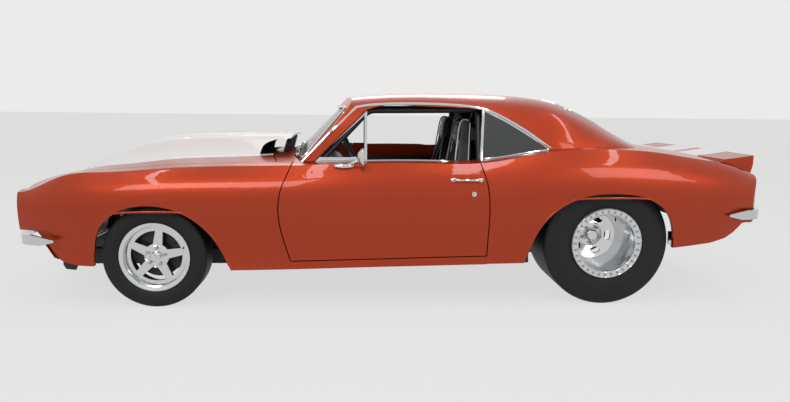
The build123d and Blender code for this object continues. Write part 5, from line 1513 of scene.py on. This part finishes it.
@dataclass
class Cockpit:
    """Dials, steering-wheel dressing, shifter, pedals and mirror."""

    dash_x: float = -0.3095
    wheel: Point = (-0.2355, -0.365, 0.850)
    tilt: float = 22.0

    def dial(self, y: float, z: float, radius: float, turn: float) -> None:
        """One round instrument that faces the driver.

        Args:
            y: its place across the dash.
            z: its height.
            radius: its face's radius.
            turn: its needle's angle in degrees.
        """
        x = self.dash_x + 0.002
        name = f"{round(1000 * y)}_{round(1000 * z)}".replace("-", "l")
        pod = Shape().ring((x, y, z), (1, 0, 0), radius + 0.007, 0.007, 0.014, 32)
        pod.finish(f"dial_bezel_{name}", "chrome")
        face = Shape().knob((x, y, z), (1, 0, 0), radius, 0.004, 32)
        face.finish(f"dial_face_{name}", "dial_face")
        marks = Shape()
        for step in range(11):
            angle = math.radians(-120 + 24 * step)
            out = (math.sin(angle), math.cos(angle))
            near, far = 0.76 * radius, 0.90 * radius
            marks.rod(
                (x + 0.005, y + out[0] * near, z + out[1] * near),
                (x + 0.005, y + out[0] * far, z + out[1] * far),
                0.0011,
                6,
)
        angle = math.radians(turn)
        tip = (y + math.sin(angle) * 0.7 * radius, z + math.cos(angle) * 0.7 * radius)
        marks.rod((x + 0.006, y, z), (x + 0.006, *tip), 0.0016, 6, 0.0006)
        marks.finish(f"dial_marks_{name}", "dial_white")

    def dash(self) -> None:
        """Instruments, switch panel with its switches, and glove-box lid with its latch."""
        self.dial(-0.455, 0.740, 0.050, -60.0)
        self.dial(-0.270, 0.740, 0.050, 20.0)
        for index, y in enumerate((-0.07, 0.0, 0.07)):
            self.dial(y, 0.748, 0.026, -70.0 + 30 * index)
        panel = Shape().box((self.dash_x - 0.012, -0.135, 0.655), (self.dash_x + 0.004, 0.135, 0.708), 0.003)
        panel.finish("switch_panel", "alloy_box")
        switches = Shape()
        for step in range(6):
            y = -0.105 + 0.042 * step
            switches.rod((self.dash_x + 0.002, y, 0.682), (self.dash_x + 0.010, y, 0.682), 0.007, 12)
            switches.rod((self.dash_x + 0.008, y, 0.682), (self.dash_x + 0.030, y, 0.690), 0.003, 8)
        switches.finish("switches", "chrome")
        lid = Shape().box((self.dash_x - 0.010, 0.24, 0.680), (self.dash_x + 0.003, 0.56, 0.790), 0.004)
        lid.finish("glove_box_lid", "satin_black")
        latch = Shape().knob((self.dash_x + 0.002, 0.40, 0.770), (1, 0, 0), 0.012, 0.010)
        latch.finish("glove_box_latch", "chrome")

    def steering(self) -> None:
        """Horn cap, bright spoke rings and rim stitching on the steering wheel."""
        tilt = math.radians(self.tilt)
        along = Vector((math.cos(tilt), 0, math.sin(tilt)))
        centre = Vector(self.wheel)
        base = centre - along * 0.002
        cap = Shape().ring(tuple(base), tuple(along), 0.030, 0.007, 0.008, 32).knob(
            tuple(base), tuple(along), 0.022, 0.012, 32
)
        cap.finish("horn_cap", "chrome", "steering_wheel")
        bolts = Shape()
        across = Vector((0, 1, 0))
        rise = along.cross(across).normalized()
        for step in range(3):
            turn = math.radians(90 + 120 * step)
            out = across * math.cos(turn) + rise * math.sin(turn)
            for reach in (0.060, 0.088, 0.116):
                spot = centre - along * 0.005 + out * reach
                bolts.ring(tuple(spot), tuple(along), 0.0095, 0.003, 0.0025, 20)
        bolts.finish("spoke_rings", "polished", "steering_wheel")
        grip = Shape()
        for step in range(24):
            turn = 2 * math.pi * step / 24
            out = across * math.cos(turn) + rise * math.sin(turn)
            spot = centre + out * 0.172
            grip.ring(
                tuple(spot - (along.cross(out)) * 0.001), tuple(along.cross(out)), 0.0150, 0.002, 0.002, 14
)
        grip.finish("rim_stitching", "webbing", "steering_wheel")
        stalk = Shape().tube(
            [(-0.30, -0.395, 0.822), (-0.285, -0.46, 0.842), (-0.275, -0.515, 0.855)], 0.0045
)
        stalk.ball((-0.274, -0.518, 0.856), (0.008, 0.010, 0.008), 6)
        stalk.finish("signal_stalk", "satin_black")

    def controls(self) -> None:
        """Shifter on the tunnel and three pedals."""
        gate = Shape().box((-0.26, -0.075, 0.440), (0.02, 0.075, 0.500), 0.012)
        gate.finish("shifter_base", "satin_black")
        lever = Shape().tube([(-0.10, 0.0, 0.49), (-0.08, 0.0, 0.58), (-0.045, -0.01, 0.665)], 0.0075)
        lever.tube([(-0.10, 0.034, 0.49), (-0.095, 0.034, 0.56)], 0.005, smooth=False)
        lever.finish("shifter_lever", "chrome")
        grip = Shape().ball((-0.042, -0.011, 0.680), (0.024, 0.024, 0.026), 10)
        grip.finish("shifter_knob", "satin_black")
        pedals = Shape()
        for y, wide in ((-0.455, 0.045), (-0.365, 0.055), (-0.270, 0.026)):
            pedals.plate(
                [
                    (-0.500, y - wide, 0.400), (-0.500, y + wide, 0.400), (-0.530, y + wide, 0.465),
                    (-0.530, y - wide, 0.465),
],
                (-0.010, 0, -0.005),
                0.002,
            )
            pedals.tube([(-0.520, y, 0.44), (-0.565, y, 0.53), (-0.560, y, 0.640)], 0.006)
        pedals.finish("pedals", "satin_black")

    def mirror(self) -> None:
        """Inside mirror under the windscreen header, and the door mirror's glass."""
        head = Shape().box((-0.330, -0.120, 1.108), (-0.308, 0.120, 1.160), 0.009)
        head.tube([(-0.334, 0.0, 1.140), (-0.345, 0.0, 1.170), (-0.338, 0.0, 1.190)], 0.006)
        head.finish("inside_mirror_shell", "satin_black")
        glass = Shape().box((-0.309, -0.112, 1.115), (-0.306, 0.112, 1.153), 0.001)
        glass.finish("inside_mirror_glass", "chrome")
        low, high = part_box("mirror_left")
        centre = ((high.x - 0.001), (low.y + 0.055), (high.z - 0.0555))
        pane = Shape().knob(centre, (1, 0, 0), 0.046, 0.0025, 32)
        pane.finish("door_mirror_glass", "polished", "door_left", slot="chrome")

    def build(self) -> None:
        """Makes the cockpit's details."""
        self.dash()
        self.steering()
        self.controls()
        self.mirror()
        log.info("cockpit")


# ---------------------------------------------------------------- mechanical parts
@dataclass
class EngineBay:
    """What shows with the hood up: covers, intake, ignition, headers, cooling and brake master cylinder."""

    deck: float = 0.772

    def covers(self) -> None:
        """Valve covers with fins, intake plenum, carburettor and air cleaner."""
        for side in Side:
            y = side.value * 0.165
            cover = Shape().box(
                (-1.66, y - 0.062, self.deck - 0.004), (-1.02, y + 0.062, self.deck + 0.040), 0.014
)
            for step in range(7):
                rib = y - 0.042 + 0.014 * step
                cover.box(
                    (-1.63, rib - 0.002, self.deck + 0.038), (-1.05, rib + 0.002, self.deck + 0.045), 0.001
)
            cover.finish(f"valve_cover_{side.name.lower()}", "alloy_box")
            cap = Shape().knob((-1.60, y, self.deck + 0.040), (0, 0, 1), 0.018, 0.014)
            cap.finish(f"oil_cap_{side.name.lower()}", "chrome")
        plenum = Shape().box((-1.55, -0.095, self.deck - 0.004), (-1.10, 0.095, self.deck + 0.030), 0.016)
        plenum.box((-1.42, -0.080, self.deck + 0.026), (-1.20, 0.080, self.deck + 0.052), 0.010)
        plenum.finish("intake_manifold", "cast_grey")
        filter_ring = Shape().ring((-1.31, 0.0, self.deck + 0.050), (0, 0, 1), 0.088, 0.022, 0.024, 40)
        filter_ring.finish("air_filter", "webbing")
        lid = Shape().knob((-1.31, 0.0, self.deck + 0.072), (0, 0, 1), 0.092, 0.010, 40)
        lid.knob((-1.31, 0.0, self.deck + 0.080), (0, 0, 1), 0.010, 0.008, 16)
        lid.finish("air_filter_lid", "chrome")

    def ignition(self) -> None:
        """Distributor with eight plug leads."""
        cap = Shape().knob((-0.93, 0.0, self.deck - 0.002), (0, 0, 1), 0.046, 0.050, 24)
        cap.finish("distributor", "engine_paint")
        leads = Shape()
        for side in Side:
            for step in range(4):
                x = -1.08 - 0.155 * step
                y = side.value * (0.014 + 0.008 * step)
                leads.tube(
                    [
                        (-0.94, y, self.deck + 0.045), (-0.96, y * 1.2, self.deck + 0.066),
                        (-1.00, side.value * 0.100, self.deck + 0.058 - 0.003 * step),
                        (x + 0.05, side.value * 0.236, self.deck + 0.024),
                        (x, side.value * 0.256, self.deck - 0.030),
                        (x, side.value * 0.262, self.deck - 0.120),
                    ],
                    0.004,
                    round_by=1,
                )
        leads.finish("plug_leads", "engine_paint", slot="rubber")

    def headers(self) -> None:
        """Four exhaust tubes a side, gathered into a collector."""
        for side in Side:
            pipes = Shape()
            y = side.value
            for step in range(4):
                x = -1.08 - 0.155 * step
                pipes.tube(
                    [
                        (x, y * 0.250, 0.600), (x + 0.01, y * 0.292, 0.595), (x + 0.05, y * 0.306, 0.520),
                        (x + 0.10, y * 0.300, 0.400),
                        (-0.98, y * (0.262 + 0.016 * (step % 2)), 0.300 + 0.022 * (step // 2)),
                        (-0.90, y * (0.260 + 0.016 * (step % 2)), 0.262 + 0.018 * (step // 2)),
                    ],
                    0.019,
                )
            pipes.rod((-0.92, y * 0.268, 0.278), (-0.74, y * 0.268, 0.215), 0.046, 24, 0.040)
            pipes.finish(f"exhaust_headers_{side.name.lower()}", "header_coat")

    def cooling(self) -> None:
        """Radiator core, fan, cap and hoses."""
        core = Shape().box((-2.022, -0.300, 0.290), (-2.016, 0.300, 0.650), 0.002)
        for step in range(24):
            z = 0.300 + 0.0145 * step
            core.box((-2.016, -0.295, z), (-2.012, 0.295, z + 0.005))
        core.finish("radiator_fins", "zinc")
        fan = Shape().knob((-1.950, 0.0, 0.470), (-1, 0, 0), 0.045, 0.030, 24)
        for step in range(6):
            turn = math.radians(60 * step)
            out = Vector((0, math.cos(turn), math.sin(turn)))
            side = Vector((1, 0, 0)).cross(out)
            low, high = 0.04, 0.170
            spots = []
            for reach, width, lean in (
                (low, 0.018, 0.0), (high, 0.038, 0.0), (high, 0.038, 1.0), (low, 0.018, 1.0)
):
                sign = 1.0 if lean else -1.0
                spot = Vector((-1.968 + 0.012 * sign, 0.0, 0.470)) + out * reach + side * (width * sign)
                spots.append(tuple(spot))
            fan.plate(spots, (0.003, 0, 0))
        fan.rod((-1.955, 0, 0.470), (-1.780, 0, 0.470), 0.026, 16)
        fan.finish("cooling_fan", "satin_black")
        cap = Shape().knob((-2.050, 0.220, 0.688), (0, 0, 1), 0.026, 0.010)
        cap.finish("radiator_cap", "chrome")
        hose = Shape().tube(
            [
                (-2.020, 0.200, 0.640), (-1.985, 0.200, 0.650), (-1.93, 0.17, 0.700), (-1.84, 0.08, 0.730),
                (-1.785, 0.03, 0.725), (-1.775, 0.02, 0.724),
],
            0.020,
        )
        hose.finish("radiator_hose", "hose_rubber")

    def brakes(self) -> None:
        """Master cylinder on the firewall."""
        cylinder = Shape().rod((-0.800, -0.420, 0.640), (-0.770, -0.420, 0.640), 0.052, 28)
        cylinder.rod((-0.920, -0.420, 0.640), (-0.798, -0.420, 0.640), 0.024, 20)
        cylinder.finish("master_cylinder", "cast_grey")
        tank = Shape().box((-0.925, -0.452, 0.655), (-0.825, -0.388, 0.700), 0.006)
        tank.finish("brake_reservoir", "zinc")

    def build(self) -> None:
        """Makes the engine bay's parts."""
        self.covers()
        self.ignition()
        self.headers()
        self.cooling()
        self.brakes()
        log.info("engine bay")


@dataclass
class Underside:
    """Exhaust, axle links, dampers, axle cover and the trunk's fuel cell and battery box."""

    axle: tuple[float, float] = (1.3295, 0.391)

    def exhaust(self) -> None:
        """Two pipes with mufflers, turned out ahead of the rear tyres."""
        for side in Side:
            y = side.value * 0.268
            pipe = Shape().tube(
                [(-0.75, y, 0.217), (-0.55, y, 0.196), (-0.30, y, 0.192), (-0.05, y, 0.192)], 0.038
)
            pipe.rod((-0.06, y, 0.192), (0.0, y, 0.192), 0.038, 24, 0.062)
            pipe.rod((0.0, y, 0.192), (0.44, y, 0.192), 0.062, 28)
            pipe.rod((0.44, y, 0.192), (0.50, y, 0.192), 0.062, 24, 0.038)
            pipe.tube([(0.49, y, 0.192), (0.60, y, 0.192), (0.66, y, 0.186), (0.70, y, 0.158)], 0.038)
            pipe.finish(f"exhaust_pipe_{side.name.lower()}", "header_coat")

    def links(self) -> None:
        """Ladder bars, coil-over dampers and axle cover."""
        x, z = self.axle
        for side in Side:
            y = side.value * 0.300
            bars = Shape().tube([(x - 0.02, y, z + 0.060), (0.72, y, 0.290)], 0.015, smooth=False)
            bars.tube([(x - 0.02, y, z - 0.060), (0.72, y, 0.280)], 0.015, smooth=False)
            bars.rod((x, y - 0.006, z - 0.085), (x, y + 0.006, z - 0.085), 0.016, 12)
            bars.box((x - 0.060, y - 0.008, z - 0.095), (x + 0.060, y + 0.008, z + 0.085), 0.006)
            bars.ball((0.715, y, 0.285), (0.024, 0.016, 0.024), 8)
            bars.finish(f"ladder_bar_{side.name.lower()}", "chassis_black")
            y = side.value * 0.235
            damper = Shape().rod((x + 0.085, y, z - 0.110), (x + 0.050, y, z + 0.170), 0.020, 20)
            spring = []
            for step in range(97):
                turn = 2 * math.pi * step / 12
                share = step / 96
                spring.append(
                    (
                        x + 0.083 - 0.032 * share + 0.036 * math.cos(turn),
                        y + 0.036 * math.sin(turn),
                        z - 0.080 + 0.235 * share,
                    )
                )
            damper.tube(spring, 0.0055, round_by=1)
            damper.finish(f"coil_damper_{side.name.lower()}", "zinc")
        cover = Shape().ring((x + 0.112, 0.0, z), (1, 0, 0), 0.098, 0.020, 0.012, 32)
        for step in range(10):
            turn = math.radians(36 * step)
            spot = (x + 0.122, 0.088 * math.sin(turn), z + 0.088 * math.cos(turn))
            cover.rod(spot, (spot[0] + 0.008, spot[1], spot[2]), 0.007, 6)
        cover.finish("axle_cover", "zinc")

    def trunk(self) -> None:
        """Fuel cell with its straps and filler, and a battery box."""
        cell = Shape().box((1.860, -0.230, 0.592), (2.090, 0.230, 0.742), 0.016)
        cell.finish("fuel_cell", "alloy_box")
        straps = Shape()
        for y in (-0.130, 0.130):
            straps.box((1.856, y - 0.013, 0.592), (2.094, y + 0.013, 0.746), 0.002)
        straps.knob((1.975, 0.0, 0.740), (0, 0, 1), 0.042, 0.012, 28)
        straps.finish("fuel_cell_straps", "satin_black")
        box = Shape().box((1.880, 0.320, 0.592), (2.060, 0.500, 0.742), 0.012)
        box.box((1.872, 0.312, 0.722), (2.068, 0.508, 0.740), 0.004)
        box.finish("battery_box", "satin_black")

    def build(self) -> None:
        """Makes the underside and trunk parts."""
        self.exhaust()
        self.links()
        self.trunk()
        log.info("underside and trunk")


# ---------------------------------------------------------------- studio
@dataclass
class Studio:
    """Camera, soft lamps and a pale floor."""

    focal: float = 28.27
    sensor: float = 36.0
    place: Point = (-0.1853, -4.5208, 1.2297)
    yaw: float = 3.17
    pitch: float = 8.93
    roll: float = 0.65
    white: tuple[float, float, float] = (0.83, 0.83, 0.825)
    ambient: float = 0.42

    def camera(self) -> None:
        """Sets the main view."""
        yaw, pitch, roll = (math.radians(a) for a in (self.yaw, self.pitch, self.roll))
        ahead = Vector((math.sin(yaw) * math.cos(pitch), math.cos(yaw) * math.cos(pitch), -math.sin(pitch)))
        right = Vector((math.cos(yaw), -math.sin(yaw), 0))
        up = right.cross(ahead)
        right, up = (
            right * math.cos(roll) + up * math.sin(roll),
            up * math.cos(roll) - right * math.sin(roll),
        )
        data = bpy.data.cameras.new("main_camera")
        data.lens = self.focal
        data.sensor_width = self.sensor
        data.sensor_fit = "HORIZONTAL"
        data.clip_end = 200.0
        camera = bpy.data.objects.new("main_camera", data)
        turn = Matrix((right, up, -ahead)).transposed().to_4x4()
        camera.matrix_world = Matrix.Translation(self.place) @ turn
        bpy.context.scene.collection.objects.link(camera)
        bpy.context.scene.camera = camera

    def lamp(self, name: str, place: Point, aim: Point, size: tuple[float, float], power: float) -> None:
        """Adds one soft rectangular lamp."""
        data = bpy.data.lights.new(name, "AREA")
        data.shape = "RECTANGLE"
        data.size, data.size_y = size
        data.energy = power
        lamp = bpy.data.objects.new(name, data)
        lamp.location = place
        direction = Vector(aim) - Vector(place)
        lamp.rotation_euler = direction.to_track_quat("-Z", "Y").to_euler()
        bpy.context.scene.collection.objects.link(lamp)

    def floor(self) -> None:
        """Adds the pale floor, which keeps the car's shadow."""
        shape = bmesh.new()
        bmesh.ops.create_grid(shape, x_segments=1, y_segments=1, size=60.0)
        mesh = bpy.data.meshes.new("studio_floor")
        shape.to_mesh(mesh)
        shape.free()
        bench = Bench("studio_floor")
        matt = bench.node("ShaderNodeBsdfDiffuse", {}, {"Color": rgba(0.76, 0.76, 0.76)})
        glow = bench.node("ShaderNodeEmission", {}, {"Color": rgba(*self.white), "Strength": 1.0})
        blend = bench.node(
            "ShaderNodeMixShader", {}, {0: bench.seen() * 0.8, 1: matt.outputs[0], 2: glow.outputs[0]}
)
        bench.node("ShaderNodeOutputMaterial", {}, {"Surface": blend.outputs[0]})
        mesh.materials.append(bench.material)
        floor = bpy.data.objects.new("studio_floor", mesh)
        floor.location.z = -0.001
        bpy.context.scene.collection.objects.link(floor)

    def world(self) -> None:
        """Sets an even surround that shows as pale as the floor."""
        world = bpy.data.worlds.new("studio_world")
        bench = Bench("studio_world", world)
        light = bench.node(
            "ShaderNodeBackground", {}, {"Color": rgba(0.95, 0.95, 0.95), "Strength": self.ambient}
)
        shown = bench.node("ShaderNodeBackground", {}, {"Color": rgba(*self.white), "Strength": 1.0})
        blend = bench.node(
            "ShaderNodeMixShader", {}, {0: bench.seen(), 1: light.outputs[0], 2: shown.outputs[0]}
)
        bench.node("ShaderNodeOutputWorld", {}, {"Surface": blend.outputs[0]})
        bpy.context.scene.world = world

    def build(self) -> None:
        """Builds the studio."""
        self.camera()
        self.floor()
        self.world()
        for index, x in enumerate((-2.6, -0.9, 0.9, 2.6)):
            self.lamp(f"strip_{index}", (x, -1.6, 3.4), (x, -0.4, 0.0), (0.16, 3.4), 15.0)
        self.lamp("key", (-3.0, -6.0, 4.2), (0.0, 0.0, 0.6), (3.5, 1.6), 95.0)
        self.lamp("fill", (4.0, -5.0, 3.0), (0.5, 0.0, 0.6), (2.5, 1.6), 50.0)
        self.lamp("far_side", (0.0, 6.0, 4.0), (0.0, 0.0, 0.5), (5.0, 2.0), 80.0)
        bpy.context.scene.view_settings.view_transform = "Standard"


def main() -> None:
    """Builds the whole scene in order."""
    logging.basicConfig(level=logging.INFO, format="%(message)s")
    FRAME.update(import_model())
    PALETTE.build()
    Studio().build()
    log.info("studio")
    Panels().dress()
    log.info("panels")
    for maker in (Brightwork, DoorFittings, Sheetmetal, Nose, Tail, Seats, Cockpit, EngineBay, Underside):
        maker().build()
    for side in Side:
        FrontWheel(side).build()
        RearWheel(side).build()
    log.info("wheels")


if __name__ == "__main__":
    main()
